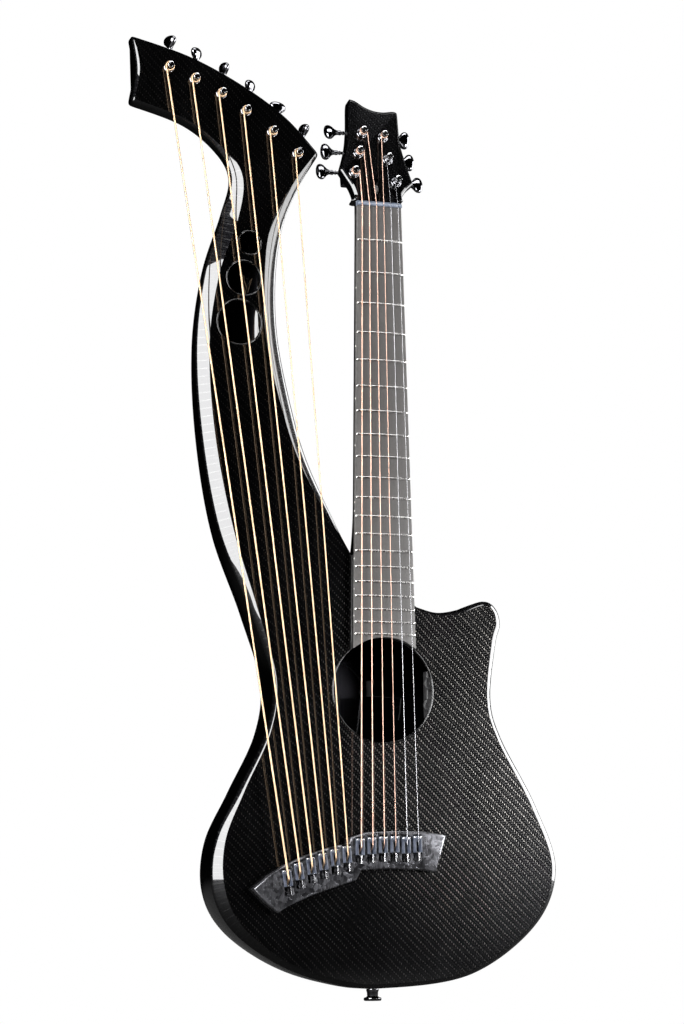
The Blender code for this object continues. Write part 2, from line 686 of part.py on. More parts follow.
rod = bmesh.new()
rod_end = scale_length + head_start + 3 * mm
cuboid(rod, (-rod_width / 2, neck_face + gap, rod_low_z),
       (rod_width / 2, neck_face + rod_depth, rod_end - 9 * mm))
truss_rod = place("truss_rod", mesh_from(rod, "truss_rod"), steel)
rod_nut = bmesh.new()
cylinder(rod_nut, (0, neck_face + gap + rod_depth / 2, rod_end - 12 * mm),
         (0, neck_face + gap + rod_depth / 2, rod_end + 6 * mm), 0.46 * rod_width, 6)
rod_nut_tool = place("rod_nut", mesh_from(rod_nut, "rod_nut"), None)
hide(rod_nut_tool)
boolean(truss_rod, rod_nut_tool, "UNION")

# ---- strings: course, saddle crest and direction at the bridge ----
courses = []
for i, (x, z) in enumerate(bass_saddles):
    crest = Vector((x, bass_string_at_saddle, z))
    post = Vector((bass_posts[i][0], bass_string_at_post, bass_posts[i][1]))
    reach = post_radius + gap + bass_radii[i]
    run = (post - crest).normalized()
    left = Vector((-run.z, 0, run.x)).normalized()
    end = post + left * reach
    courses.append(dict(name=f"bass_{i + 1}", crest=crest, bends=[end], radius=bass_radii[i],
                        material=gold_bronze))
for n in range(6):
    offset = n - 2.5
    crest = Vector((offset * guitar_saddle_spacing, guitar_string_at_saddle, guitar_saddle_z[n]))
    over_nut = Vector((offset * guitar_nut_spacing, guitar_string_at_nut + guitar_radii[0] - guitar_radii[n],
                       scale_length + 1.0 * mm))
    machine = machines[6 + n]
    post = on_head(machine["at"][0], -guitar_string_above_head, machine["at"][2])
    inner = Vector((-machine["out"][0], 0, 0))
    end = post + inner * (post_radius + gap + guitar_radii[n])
    courses.append(dict(name=f"guitar_{6 - n}", crest=crest, bends=[over_nut, end], radius=guitar_radii[n],
                        material=steel if n > 3 else bronze))


def tube(points, radius, sides=6):
    bm = bmesh.new()
    rings = []
    for i, point in enumerate(points):
        before = points[max(0, i - 1)]
        after = points[min(len(points) - 1, i + 1)]
        heading = (after - before).normalized()
        turn = heading.to_track_quat("Z", "X")
        rings.append(ring(bm, [point + turn @ Vector((radius * cos(2 * pi * k / sides),
                                                      radius * sin(2 * pi * k / sides), 0)) for k in range(sides)]))
    bridge_rings(bm, rings)
    return bm


for course in courses:
    run = (course["bends"][0] - course["crest"]).normalized()
    course["run"] = run
    flat = Vector((run.x, 0, run.z)).normalized()
    course["flat"] = flat
    drop = course["crest"] - run * string_drop_start
    anchor = course["crest"] - flat * string_drop_end
    anchor.y = pocket_floor - gap - 2.0 * mm
    points = [anchor, drop] + course["bends"]
    place(f"string_{course['name']}", mesh_from(tube(points, course["radius"]), f"string_{course['name']}"),
          course["material"])


# ---- bridge and saddles ----
def saddle_turn(course):
    """Local Y out of the soundboard's face turned inwards, local Z towards the nut."""
    z_axis = course["flat"]
    y_axis = Vector((0, 1, 0))
    return Matrix((y_axis.cross(z_axis), y_axis, z_axis)).transposed()


bridge_block = bmesh.new()
plate(bridge_block, [(x * mm, z * mm) for x, z in bridge_outline], bridge_top, -gap)
bridge = place("bridge", mesh_from(bridge_block, "bridge"), forged)
pockets = bmesh.new()
side_clear = 0.4 * mm
for course in courses:
    half = saddle_width / 2 + side_clear
    origin = Vector((course["crest"].x, 0, course["crest"].z))
    front_end = saddle_front + saddle_travel + 0.2 * mm
    cuboid(pockets, (-half, bridge_top - 5 * mm, -pocket_back), (half, pocket_floor, front_end),
           saddle_turn(course), origin)
pocket_cutter = place("pocket_cutter", mesh_from(pockets, "pocket_cutter"), None)
hide(pocket_cutter)
boolean(bridge, pocket_cutter)


def saddle_mesh(name, crest_y):
    """Saddle block with a slot open to the rear and a ridge under the string; origin under its crest."""
    bm = bmesh.new()
    half = saddle_width / 2
    slot = saddle_slot / 2
    points = [(-half, saddle_front), (-half, -saddle_back), (-slot, -saddle_back), (-slot, -slot_start),
              (slot, -slot_start), (slot, -saddle_back), (half, -saddle_back), (half, saddle_front)]
    body_top = crest_y + saddle_ridge
    plate(bm, points, body_top, pocket_floor - gap)
    bmesh.ops.recalc_face_normals(bm, faces=bm.faces)
    for z in (-1.2 * mm, 1.2 * mm):
        bmesh.ops.bisect_plane(bm, geom=bm.verts[:] + bm.edges[:] + bm.faces[:], plane_co=(0, 0, z),
                               plane_no=(0, 0, 1), dist=1e-7)
    ridge = [face for face in bm.faces if abs(face.calc_center_median().y - body_top) < 1e-7
             and abs(face.calc_center_median().z) < 1 * mm]
    raised = bmesh.ops.extrude_face_region(bm, geom=ridge)
    bmesh.ops.delete(bm, geom=ridge, context="FACES_ONLY")
    for item in raised["geom"]:
        if isinstance(item, bmesh.types.BMVert):
            item.co.y -= saddle_ridge
            item.co.z *= 0.4
    return mesh_from(bm, name)


for course in courses:
    crest_y = course["crest"].y + course["radius"] + gap
    location = (course["crest"].x, 0, course["crest"].z)
    place(f"saddle_{course['name']}", saddle_mesh(f"saddle_{course['name']}", crest_y), saddle_grey,
          location=location, rotation=saddle_turn(course))

# ---- tuning machines: posts with wheels, and buttons with worms ----
post_meshes = {False: post_mesh("arm_post", head_depth), True: post_mesh("head_post", head_thickness)}
button_meshes = {False: button_mesh("arm_button", bass_button_reach),
                 True: button_mesh("head_button", guitar_button_reach)}
for machine, turn in zip(machines, button_turns):
    parent = empty(f"machine_{machine['name']}", (0, 0, 0), parent=instrument)
    parent.matrix_local = machine_matrix(machine)
    back = head_thickness if machine["head"] else head_depth
    follow = machine["side"] * radians(turn) / gear_teeth
    tooth_gap = pi / gear_teeth if machine["side"] > 0 else pi * (gear_teeth % 2) / gear_teeth
    place(f"post_{machine['name']}", post_meshes[machine["head"]], chrome, parent,
          rotation=Matrix.Rotation(follow + tooth_gap, 3, "Y"))
    place(f"button_{machine['name']}", button_meshes[machine["head"]], chrome, parent,
          (machine["side"] * worm_distance, back + gear_behind_head, 0), Matrix.Rotation(radians(turn), 3, "Z"))

# ---- pickup controls under the soundboard's rim ----
wheel_front = top_thickness + wheel_clear
housing_front = wheel_front + wheel_thickness + wheel_clear
for name, (x, z) in zip(("volume_wheel", "tone_wheel"), wheel_centres):
    bm = bmesh.new()
    across = Matrix.Rotation(-pi / 2, 3, "X")
    turned(bm, [(0, wheel_radius - 0.4 * mm), (0.4 * mm, wheel_radius),
                (wheel_thickness - 0.4 * mm, wheel_radius),
                (wheel_thickness, wheel_radius - 0.4 * mm)], across, 20)
    wheel = place(name, mesh_from(bm, name), plastic, location=(x, wheel_front, z))
    bore = bmesh.new()
    cylinder(bore, (x, 0, z), (x, 30 * mm, z), axle_radius + gap, 10)
    cutter = place(f"{name}_bore", mesh_from(bore, f"{name}_bore"), None)
    hide(cutter)
    boolean(wheel, cutter)

housing = bmesh.new()
low_x = sound_hole_radius - 3.2 * mm
high_x = low_x + 28.7 * mm
mid_z = 0.5 * (wheel_centres[0][1] + wheel_centres[1][1])
cuboid(housing, (low_x, housing_front, mid_z - 24 * mm),
       (high_x, housing_front + preamp_depth, mid_z + 24 * mm))
preamp = place("preamp_housing", mesh_from(housing, "preamp_housing"), plastic)
fittings = bmesh.new()
cuboid(fittings, (high_x - 6 * mm, top_thickness + gap, mid_z - 24 * mm),
       (high_x, housing_front + 2 * mm, mid_z + 24 * mm))
for x, z in wheel_centres:
    cylinder(fittings, (x, wheel_front + 0.5 * mm, z), (x, housing_front + 2 * mm, z), axle_radius, 8)
fitting_tool = place("preamp_fittings", mesh_from(fittings, "preamp_fittings"), None)
hide(fitting_tool)
boolean(preamp, fitting_tool, "UNION")

# ---- end pin and strap button ----
pin = bmesh.new()
body_end = -147.0 * mm
turned(pin, [(-saddle_height, pin_flange_radius), (-saddle_height + pin_flange_thickness, pin_flange_radius),
             (-saddle_height + pin_flange_thickness + 1.5 * mm, pin_neck_radius),
             (body_end - 1.2 * mm, pin_neck_radius + 1 * mm), (body_end - 1.2 * mm, pin_shank_radius),
             (body_end + pin_shank_length, pin_shank_radius)], sides=20)
end_pin = place("end_pin", mesh_from(pin, "end_pin"), chrome, location=(0, end_pin_depth, 0))

strap = bmesh.new()
strap_z = button_pin_z + 130 * mm
strap_x = 30 * mm
back_y = body_depth(strap_z)
lean = atan2(depth_profile[0][1] - depth_profile[1][1], depth_profile[1][0] - depth_profile[0][0])
turned(strap, [(gap, pin_neck_radius + 1 * mm), (3 * mm, pin_neck_radius), (6 * mm, pin_neck_radius),
               (8 * mm, pin_flange_radius), (11 * mm, pin_flange_radius)], Matrix.Rotation(-pi / 2, 3, "X"), 20)
strap_button = place("strap_button", mesh_from(strap, "strap_button"), chrome,
                     location=(strap_x, back_y, strap_z), rotation=Matrix.Rotation(lean, 3, "X"))
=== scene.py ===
import json
from math import atan2, ceil, cos, hypot, pi, radians, sin, sqrt

import bpy
import bmesh
from mathutils import Matrix, Vector


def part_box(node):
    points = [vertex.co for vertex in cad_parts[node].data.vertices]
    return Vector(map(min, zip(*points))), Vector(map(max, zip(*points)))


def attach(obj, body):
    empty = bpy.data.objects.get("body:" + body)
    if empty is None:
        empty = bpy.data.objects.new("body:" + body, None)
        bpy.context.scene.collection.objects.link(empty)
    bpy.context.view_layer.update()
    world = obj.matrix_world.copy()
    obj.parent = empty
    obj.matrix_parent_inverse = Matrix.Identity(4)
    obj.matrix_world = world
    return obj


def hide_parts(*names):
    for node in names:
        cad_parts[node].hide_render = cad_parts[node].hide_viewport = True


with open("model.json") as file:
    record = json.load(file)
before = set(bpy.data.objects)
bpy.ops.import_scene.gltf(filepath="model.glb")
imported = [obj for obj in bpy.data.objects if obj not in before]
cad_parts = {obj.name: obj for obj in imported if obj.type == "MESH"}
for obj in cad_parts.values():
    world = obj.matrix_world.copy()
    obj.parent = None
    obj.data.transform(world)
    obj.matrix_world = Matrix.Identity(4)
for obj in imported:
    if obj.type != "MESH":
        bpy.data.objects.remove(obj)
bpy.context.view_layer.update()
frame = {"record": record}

mm = 0.001
scaleLength = 647.7                       # nut to saddle line, mm
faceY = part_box("soundboard")[0][1]        # front of the soundboard
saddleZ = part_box("nut")[0][2] - scaleLength * mm
jointOf = {joint["name"]: joint for joint in frame["record"]["behaviour"]["joints"]}
courseNames = [f"bass_{n}" for n in range(1, 7)] + [f"guitar_{n}" for n in (6, 5, 4, 3, 2, 1)]


def at(x, y, z):      # millimetres from the saddle line on the soundboard's face, to the row frame
    return Vector((x * mm, faceY + y * mm, saddleZ + z * mm))


# Small tools for edit mode

def deselectAll():
    if bpy.context.object and bpy.context.object.mode != "OBJECT":
        bpy.ops.object.mode_set(mode="OBJECT")
    bpy.ops.object.select_all(action="DESELECT")


def pick(piece):
    deselectAll()
    piece.select_set(True)
    bpy.context.view_layer.objects.active = piece


def nameIt(piece, name):
    piece.name = name
    piece.data.name = name
    return piece


def chooseVertices(piece, chosen):      # marks these vertices, and the edges and faces between them
    piece.data.vertices.foreach_set("select", chosen)
    for part in (*piece.data.edges, *piece.data.polygons):
        part.select = all(chosen[i] for i in part.vertices)


def settleNormals(piece):
    pick(piece)
    bpy.ops.object.mode_set(mode="EDIT")
    bpy.ops.mesh.select_all(action="SELECT")
    bpy.ops.mesh.normals_make_consistent(inside=False)
    bpy.ops.object.mode_set(mode="OBJECT")
    shape = bmesh.new()
    shape.from_mesh(piece.data)
    insideOut = shape.calc_volume(signed=True) < 0
    shape.free()
    if insideOut:
        piece.data.flip_normals()


def setRing(piece, points):      # the last ring of vertices takes these places
    count = len(points)
    start = len(piece.data.vertices) - count
    for k, point in enumerate(points):
        piece.data.vertices[start + k].co = point


def loftRings(name, rings, caps=True):      # a ring extruded again and again, then capped
    deselectAll()
    count = len(rings[0])
    bpy.ops.mesh.primitive_circle_add(vertices=count, radius=0.01)
    piece = nameIt(bpy.context.object, name)
    setRing(piece, rings[0])
    bpy.ops.object.mode_set(mode="EDIT")
    bpy.ops.mesh.select_all(action="SELECT")
    for points in rings[1:]:
        bpy.ops.mesh.extrude_region()
        bpy.ops.object.mode_set(mode="OBJECT")
        setRing(piece, points)
        bpy.ops.object.mode_set(mode="EDIT")
    if caps:
        bpy.ops.mesh.edge_face_add()
        bpy.ops.object.mode_set(mode="OBJECT")
        chooseVertices(piece, [k < count for k in range(len(piece.data.vertices))])
        bpy.ops.object.mode_set(mode="EDIT")
        bpy.ops.mesh.edge_face_add()
    bpy.ops.object.mode_set(mode="OBJECT")
    settleNormals(piece)
    return piece


def unitCircle(sides):
    return [(cos(2 * pi * k / sides), sin(2 * pi * k / sides)) for k in range(sides)]


def circlePoints(radius, z, sides, wide=None):
    across = wide or radius
    return [Vector((across * u, radius * v, z)) for u, v in unitCircle(sides)]


def turnedPiece(name, profile, sides=24):      # (height, radius) pairs, along Z
    return loftRings(name, [circlePoints(radius * mm, z * mm, sides) for z, radius in profile])


def softBox(name, low, high, edge, segments=2):      # a cube set to size with its edges bevelled
    deselectAll()
    centre = [(a + b) / 2 * mm for a, b in zip(low, high)]
    bpy.ops.mesh.primitive_cube_add(size=1.0)
    piece = nameIt(bpy.context.object, name)
    for vertex in piece.data.vertices:
        vertex.co = Vector([c + v * (b - a) * mm for c, v, a, b in zip(centre, vertex.co, low, high)])
    bpy.ops.object.mode_set(mode="EDIT")
    bpy.ops.mesh.select_all(action="SELECT")
    bpy.ops.mesh.bevel(offset=edge * mm, segments=segments)
    bpy.ops.object.mode_set(mode="OBJECT")
    return piece


def bevelWhere(piece, test, width, segments=2):
    pick(piece)
    chooseVertices(piece, [test(vertex.co) for vertex in piece.data.vertices])
    bpy.ops.object.mode_set(mode="EDIT")
    bpy.ops.mesh.select_mode(type="EDGE")
    bpy.ops.mesh.bevel(offset=width * mm, segments=segments, clamp_overlap=True)
    bpy.ops.mesh.select_mode(type="VERT")
    bpy.ops.object.mode_set(mode="OBJECT")


def joinPieces(name, parts):
    deselectAll()
    for part in parts:
        part.select_set(True)
    bpy.context.view_layer.objects.active = parts[0]
    if len(parts) > 1:
        bpy.ops.object.join()
    return nameIt(bpy.context.object, name)


def useTool(piece, tool, operation="DIFFERENCE"):
    pick(piece)
    change = piece.modifiers.new("cut", "BOOLEAN")
    change.operation = operation
    change.solver = "EXACT"
    change.object = tool
    bpy.ops.object.modifier_apply(modifier=change.name)
    bpy.data.objects.remove(tool, do_unlink=True)


def copyOf(piece, name):
    double = piece.copy()
    double.data = piece.data.copy()
    bpy.context.collection.objects.link(double)
    return nameIt(double, name)


def finishPiece(piece, material, body, nodes=(), angle=35):
    piece.data.materials.clear()
    piece.data.materials.append(material)
    pick(piece)
    bpy.ops.object.shade_smooth_by_angle(angle=radians(angle))
    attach(piece, body)
    if nodes:
        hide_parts(*nodes)
    return piece


def insetLoop(points, distance, sharpest):      # a closed loop moved inwards, its sharp corners held back
    ring = []
    for i, point in enumerate(points):
        one = (point - points[i - 1]).normalized()
        two = (points[(i + 1) % len(points)] - point).normalized()
        side = Vector((one.y + two.y, -one.x - two.x)).normalized()
        ring.append(point + side * distance / max(sharpest, side.dot(Vector((one.y, -one.x)))))
    return ring


def basis(origin, yAxis, zAxis):
    zAxis = Vector(zAxis).normalized()
    yAxis = Vector(yAxis).normalized()
    turn = Matrix((yAxis.cross(zAxis), yAxis, zAxis)).transposed()
    return Matrix.Translation(origin) @ turn.to_4x4()


def catmull(near, t):      # a point on the curve between the two middle points
    return Vector([0.5 * (2 * b + (c - a) * t + (2 * a - 5 * b + 4 * c - d) * t * t
                          + (3 * b - a - 3 * c + d) * t ** 3) for a, b, c, d in zip(*near)])


# Node groups shared by the materials

def newGroup(name, inputs, outputs):
    group = bpy.data.node_groups.new(name, "ShaderNodeTree")
    for label, kind, value in inputs:
        socket = group.interface.new_socket(label, in_out="INPUT", socket_type=kind)
        if value is not None:
            socket.default_value = value
    for label, kind in outputs:
        group.interface.new_socket(label, in_out="OUTPUT", socket_type=kind)
    return group, group.nodes.new("NodeGroupInput"), group.nodes.new("NodeGroupOutput")


def addMath(tree, operation, *values, clamp=False):
    node = tree.nodes.new("ShaderNodeMath")
    node.operation = operation
    node.use_clamp = clamp
    for socket, value in zip(node.inputs, values):
        if hasattr(value, "is_output"):
            tree.links.new(value, socket)
        else:
            socket.default_value = value
    return node.outputs[0]


def axesOf(tree, vector):
    split = tree.nodes.new("ShaderNodeSeparateXYZ")
    tree.links.new(vector, split.inputs[0])
    return split.outputs


def spread(tree, value, low, high, toLow, toHigh):
    node = tree.nodes.new("ShaderNodeMapRange")
    tree.links.new(value, node.inputs["Value"])
    limits = {"From Min": low, "From Max": high, "To Min": toLow, "To Max": toHigh}
    for label, number in limits.items():
        if hasattr(number, "is_output"):
            tree.links.new(number, node.inputs[label])
        else:
            node.inputs[label].default_value = number
    return node.outputs["Result"]


def noiseOf(tree, vector, scale, detail=3.0, roughness=0.5):
    node = tree.nodes.new("ShaderNodeTexNoise")
    tree.links.new(vector, node.inputs["Vector"])
    node.inputs["Scale"].default_value = scale
    node.inputs["Detail"].default_value = detail
    node.inputs["Roughness"].default_value = roughness
    return node.outputs["Fac"]


def mixColours(tree, factor, first, second):
    node = tree.nodes.new("ShaderNodeMix")
    node.data_type = "RGBA"
    for socket, value in ((node.inputs[0], factor), (node.inputs[6], first), (node.inputs[7], second)):
        if hasattr(value, "is_output"):
            tree.links.new(value, socket)
        else:
            socket.default_value = (*value, 1.0)
    return node.outputs[2]


def buildTwill():      # 2x2 twill: warp tows run along V, weft tows along U, rows fall to the right
    tree, take, give = newGroup(
        "twillWeave",
        [("Vector", "NodeSocketVector", None), ("Tow Width", "NodeSocketFloat", 0.002)],
        [("Warp", "NodeSocketFloat"), ("Weft", "NodeSocketFloat"), ("Height", "NodeSocketFloat")])
    axes = axesOf(tree, take.outputs["Vector"])
    drift = spread(tree, noiseOf(tree, take.outputs["Vector"], 28.0, 1.0), 0.0, 1.0, -0.5, 0.5)
    u, v = [addMath(tree, "ADD", addMath(tree, "DIVIDE", axes[label], take.outputs["Tow Width"]), drift)
            for label in ("X", "Y")]
    column = addMath(tree, "FLOOR", u)
    row = addMath(tree, "FLOOR", v)
    along = addMath(tree, "FLOORED_MODULO", addMath(tree, "ADD", v, column), 4.0)
    shifted = addMath(tree, "ADD", addMath(tree, "ADD", u, row), 2.0)
    across = addMath(tree, "FLOORED_MODULO", shifted, 4.0)
    parts = []
    for phase, side in ((along, u), (across, v)):
        over = addMath(tree, "LESS_THAN", phase, 2.0)
        bow = addMath(tree, "SINE", addMath(tree, "MULTIPLY", phase, pi / 2))
        crown = addMath(tree, "SINE", addMath(tree, "MULTIPLY", addMath(tree, "FRACT", side), pi))
        lift = addMath(tree, "MULTIPLY", addMath(tree, "MULTIPLY", over, bow), crown)
        parts.append((addMath(tree, "POWER", addMath(tree, "MAXIMUM", lift, 0.0), 3.0), lift))
    tree.links.new(parts[0][0], give.inputs["Warp"])
    tree.links.new(parts[1][0], give.inputs["Weft"])
    tree.links.new(addMath(tree, "ADD", parts[0][1], parts[1][1]), give.inputs["Height"])
    return tree


def buildHandling():      # soft smudges and fine wipe marks that change the roughness
    tree, take, give = newGroup(
        "handlingMarks",
        [("Vector", "NodeSocketVector", None), ("Base", "NodeSocketFloat", 0.3),
         ("Amount", "NodeSocketFloat", 0.1)],
        [("Roughness", "NodeSocketFloat"), ("Marks", "NodeSocketFloat")])
    smudge = noiseOf(tree, take.outputs["Vector"], 14.0, 4.0, 0.6)
    stretch = tree.nodes.new("ShaderNodeMapping")
    stretch.inputs["Scale"].default_value = (900.0, 120.0, 60.0)
    stretch.inputs["Rotation"].default_value = (0.2, 0.3, 0.5)
    tree.links.new(take.outputs["Vector"], stretch.inputs["Vector"])
    wipe = noiseOf(tree, stretch.outputs["Vector"], 1.0, 2.0, 0.5)
    marks = addMath(tree, "MULTIPLY", spread(tree, smudge, 0.35, 0.7, 0.0, 1.0),
                    spread(tree, wipe, 0.4, 0.75, 0.3, 1.0))
    change = addMath(tree, "MULTIPLY", marks, take.outputs["Amount"])
    tree.links.new(addMath(tree, "ADD", take.outputs["Base"], change, clamp=True), give.inputs["Roughness"])
    tree.links.new(marks, give.inputs["Marks"])
    return tree


def buildEdgeRub():      # pale rubbed line where the surface turns outwards
    tree, take, give = newGroup(
        "edgeRub",
        [("Vector", "NodeSocketVector", None), ("Reach", "NodeSocketFloat", 0.08)],
        [("Mask", "NodeSocketFloat")])
    shape = tree.nodes.new("ShaderNodeNewGeometry")
    limit = addMath(tree, "ADD", take.outputs["Reach"], 0.5)
    edge = spread(tree, shape.outputs["Pointiness"], 0.51, limit, 0.0, 1.0)
    broken = spread(tree, noiseOf(tree, take.outputs["Vector"], 260.0, 3.0, 0.6), 0.4, 0.65, 0.2, 1.0)
    tree.links.new(addMath(tree, "MULTIPLY", edge, broken), give.inputs["Mask"])
    return tree


twillWeave = buildTwill()
handlingMarks = buildHandling()
edgeRub = buildEdgeRub()


def newMaterial(name):
    material = bpy.data.materials.new(name)
    material.use_nodes = True
    tree = material.node_tree
    place = tree.nodes.new("ShaderNodeTexCoord")
    return material, tree, tree.nodes["Principled BSDF"], place


def addGroup(tree, group, vector, **values):
    node = tree.nodes.new("ShaderNodeGroup")
    node.node_tree = group
    tree.links.new(vector, node.inputs["Vector"])
    for label, value in values.items():
        node.inputs[label.replace("_", " ")].default_value = value
    return node


def giveColour(tree, shader, factor, first, second):
    tree.links.new(mixColours(tree, factor, first, second), shader.inputs["Base Color"])


def giveMarks(tree, shader, place, base, amount):      # handling marks set the roughness
    marks = addGroup(tree, handlingMarks, place.outputs["Object"], Base=base, Amount=amount)
    tree.links.new(marks.outputs["Roughness"], shader.inputs["Roughness"])


def giveBump(tree, shader, height, strength, distance):
    bump = tree.nodes.new("ShaderNodeBump")
    bump.inputs["Strength"].default_value = strength
    bump.inputs["Distance"].default_value = distance
    tree.links.new(height, bump.inputs["Height"])
    tree.links.new(bump.outputs["Normal"], shader.inputs["Normal"])


def squareOff(tree, value, middle, reach):      # squared distance from the middle, one at the reach
    away = addMath(tree, "DIVIDE", addMath(tree, "SUBTRACT", value, middle), reach)
    return addMath(tree, "MULTIPLY", away, away)


def carbonMaterial(name, look):      # lacquered twill; look says how strongly the tows show
    material, tree, shader, place = newMaterial(name)
    if look["map"]:
        source = tree.nodes.new("ShaderNodeUVMap")
        source.uv_map = look["map"]
        weaveAt = source.outputs["UV"]
    else:
        turn = tree.nodes.new("ShaderNodeMapping")
        turn.inputs["Rotation"].default_value = (-pi / 2, 0, 0)
        tree.links.new(place.outputs["Object"], turn.inputs["Vector"])
        weaveAt = turn.outputs["Vector"]
    weave = addGroup(tree, twillWeave, weaveAt, Tow_Width=look["tow"])
    speckle = noiseOf(tree, place.outputs["Object"], 420.0, 2.0, 0.7)
    warp = addMath(tree, "MULTIPLY", weave.outputs["Warp"], spread(tree, speckle, 0.3, 0.7, 0.35, 1.25))
    weft = weave.outputs["Weft"]
    if look["paintedLightPool"]:      # painted pool of light: the tows are brightened round a spot right of the sound hole and dimmed to 0.16 of that towards the rim, light and shade painted into the colour
        across, upward = look["paintedLightPool"]
        x, _, z = axesOf(tree, place.outputs["Object"])
        away = addMath(tree, "ADD", squareOff(tree, x, *across), squareOff(tree, z, *upward))
        # share is painted light: full round the spot, falling off towards the rim as the lamps' pool would
        share = spread(tree, away, 0.25, 1.25, 1.0, 0.16)
        warp = addMath(tree, "MULTIPLY", warp, share)
        weft = addMath(tree, "MULTIPLY", weft, share)
    base = mixColours(tree, weft, look["resin"], look["weft"])
    giveColour(tree, shader, warp, base, look["warp"])
    shader.inputs["Metallic"].default_value = 1.0
    giveMarks(tree, shader, place, look["roughness"], 0.12)
    giveBump(tree, shader, weave.outputs["Height"], 0.35, 0.0002)
    shader.inputs["Coat Weight"].default_value = 1.0
    shader.inputs["Coat Roughness"].default_value = 0.02
    shader.inputs["Coat IOR"].default_value = look["coat"]
    shader.inputs["Specular IOR Level"].default_value = 0.25
    return material


# the top's last entry paints a pool of light onto its tows: centre and reach across, then centre and reach upward,
# in metres
topLook = {"map": None, "tow": 0.00205, "resin": (0.006, 0.006, 0.0065), "weft": (0.040, 0.040, 0.039),
           "warp": (0.21, 0.20, 0.185), "roughness": 0.27, "coat": 1.6,
           "paintedLightPool": ((0.072, 0.125), (0.290, 0.230))}
bodyLook = {"map": "weave", "tow": 0.00205, "resin": (0.003, 0.003, 0.0035), "weft": (0.010, 0.010, 0.010),
            "warp": (0.022, 0.022, 0.022), "roughness": 0.3, "coat": 1.55,
            "paintedLightPool": None}
neckLook = {"map": None, "tow": 0.00205, "resin": (0.003, 0.003, 0.0035), "weft": (0.010, 0.010, 0.010),
            "warp": (0.030, 0.030, 0.030), "roughness": 0.3, "coat": 1.55,
            "paintedLightPool": None}
topCarbon = carbonMaterial("topCarbon", topLook)
bodyCarbon = carbonMaterial("bodyCarbon", bodyLook)
neckCarbon = carbonMaterial("neckCarbon", neckLook)


def forgedMaterial():      # chopped tows pressed at random: crossing flakes of grey
    material, tree, shader, place = newMaterial("forgedCarbon")
    warped = tree.nodes.new("ShaderNodeVectorMath")
    warped.operation = "ADD"
    cloud = tree.nodes.new("ShaderNodeTexNoise")
    cloud.inputs["Scale"].default_value = 90.0
    tree.links.new(place.outputs["Object"], cloud.inputs["Vector"])
    shrink = tree.nodes.new("ShaderNodeVectorMath")
    shrink.operation = "SCALE"
    shrink.inputs["Scale"].default_value = 0.012
    tree.links.new(cloud.outputs["Color"], shrink.inputs[0])
    tree.links.new(place.outputs["Object"], warped.inputs[0])
    tree.links.new(shrink.outputs[0], warped.inputs[1])
    flakes = tree.nodes.new("ShaderNodeTexVoronoi")
    flakes.inputs["Scale"].default_value = 230.0
    tree.links.new(warped.outputs[0], flakes.inputs["Vector"])
    tone = tree.nodes.new("ShaderNodeSeparateColor")
    tree.links.new(flakes.outputs["Color"], tone.inputs[0])
    flake = addMath(tree, "POWER", tone.outputs[0], 1.8)
    colour = mixColours(tree, flake, (0.012, 0.012, 0.014), (0.15, 0.15, 0.165))
    rub = addGroup(tree, edgeRub, place.outputs["Object"], Reach=0.06)
    giveColour(tree, shader, rub.outputs["Mask"], colour, (0.24, 0.24, 0.26))
    giveMarks(tree, shader, place, 0.24, 0.2)
    shader.inputs["Metallic"].default_value = 0.85
    giveBump(tree, shader, addMath(tree, "ADD", flake, cloud.outputs["Fac"]), 0.25, 0.0003)
    shader.inputs["Coat Weight"].default_value = 0.7
    shader.inputs["Coat Roughness"].default_value = 0.12
    return material


def mouldedMaterial(name, look):      # satin composite or plastic with fine grain
    material, tree, shader, place = newMaterial(name)
    grain = noiseOf(tree, place.outputs["Object"], look["grain"], 4.0, 0.6)
    patch = noiseOf(tree, place.outputs["Object"], 30.0, 3.0, 0.5)
    colour = mixColours(tree, spread(tree, grain, 0.3, 0.7, 0.0, 1.0), look["dark"], look["pale"])
    colour = mixColours(tree, spread(tree, patch, 0.4, 0.7, 0.0, 0.35), colour, look["dark"])
    rub = addGroup(tree, edgeRub, place.outputs["Object"], Reach=0.09)
    giveColour(tree, shader, rub.outputs["Mask"], colour, look["edge"])
    giveMarks(tree, shader, place, look["roughness"], look["marks"])
    giveBump(tree, shader, grain, look["bump"], 0.0001)
    shader.inputs["Specular IOR Level"].default_value = look["specular"]
    return material


def metalMaterial(name, look):      # plated or polished metal with faint turning marks and tarnish
    material, tree, shader, place = newMaterial(name)
    tarnish = noiseOf(tree, place.outputs["Object"], 120.0, 4.0, 0.6)
    colour = mixColours(tree, spread(tree, tarnish, 0.45, 0.75, 0.0, 0.6), look["bright"], look["dull"])
    rub = addGroup(tree, edgeRub, place.outputs["Object"], Reach=0.1)
    giveColour(tree, shader, rub.outputs["Mask"], colour, look["bright"])
    giveMarks(tree, shader, place, look["roughness"], look["marks"])
    giveBump(tree, shader, noiseOf(tree, place.outputs["Object"], 1500.0, 2.0, 0.5), look["bump"], 0.00005)
    shader.inputs["Metallic"].default_value = 1.0
    return material


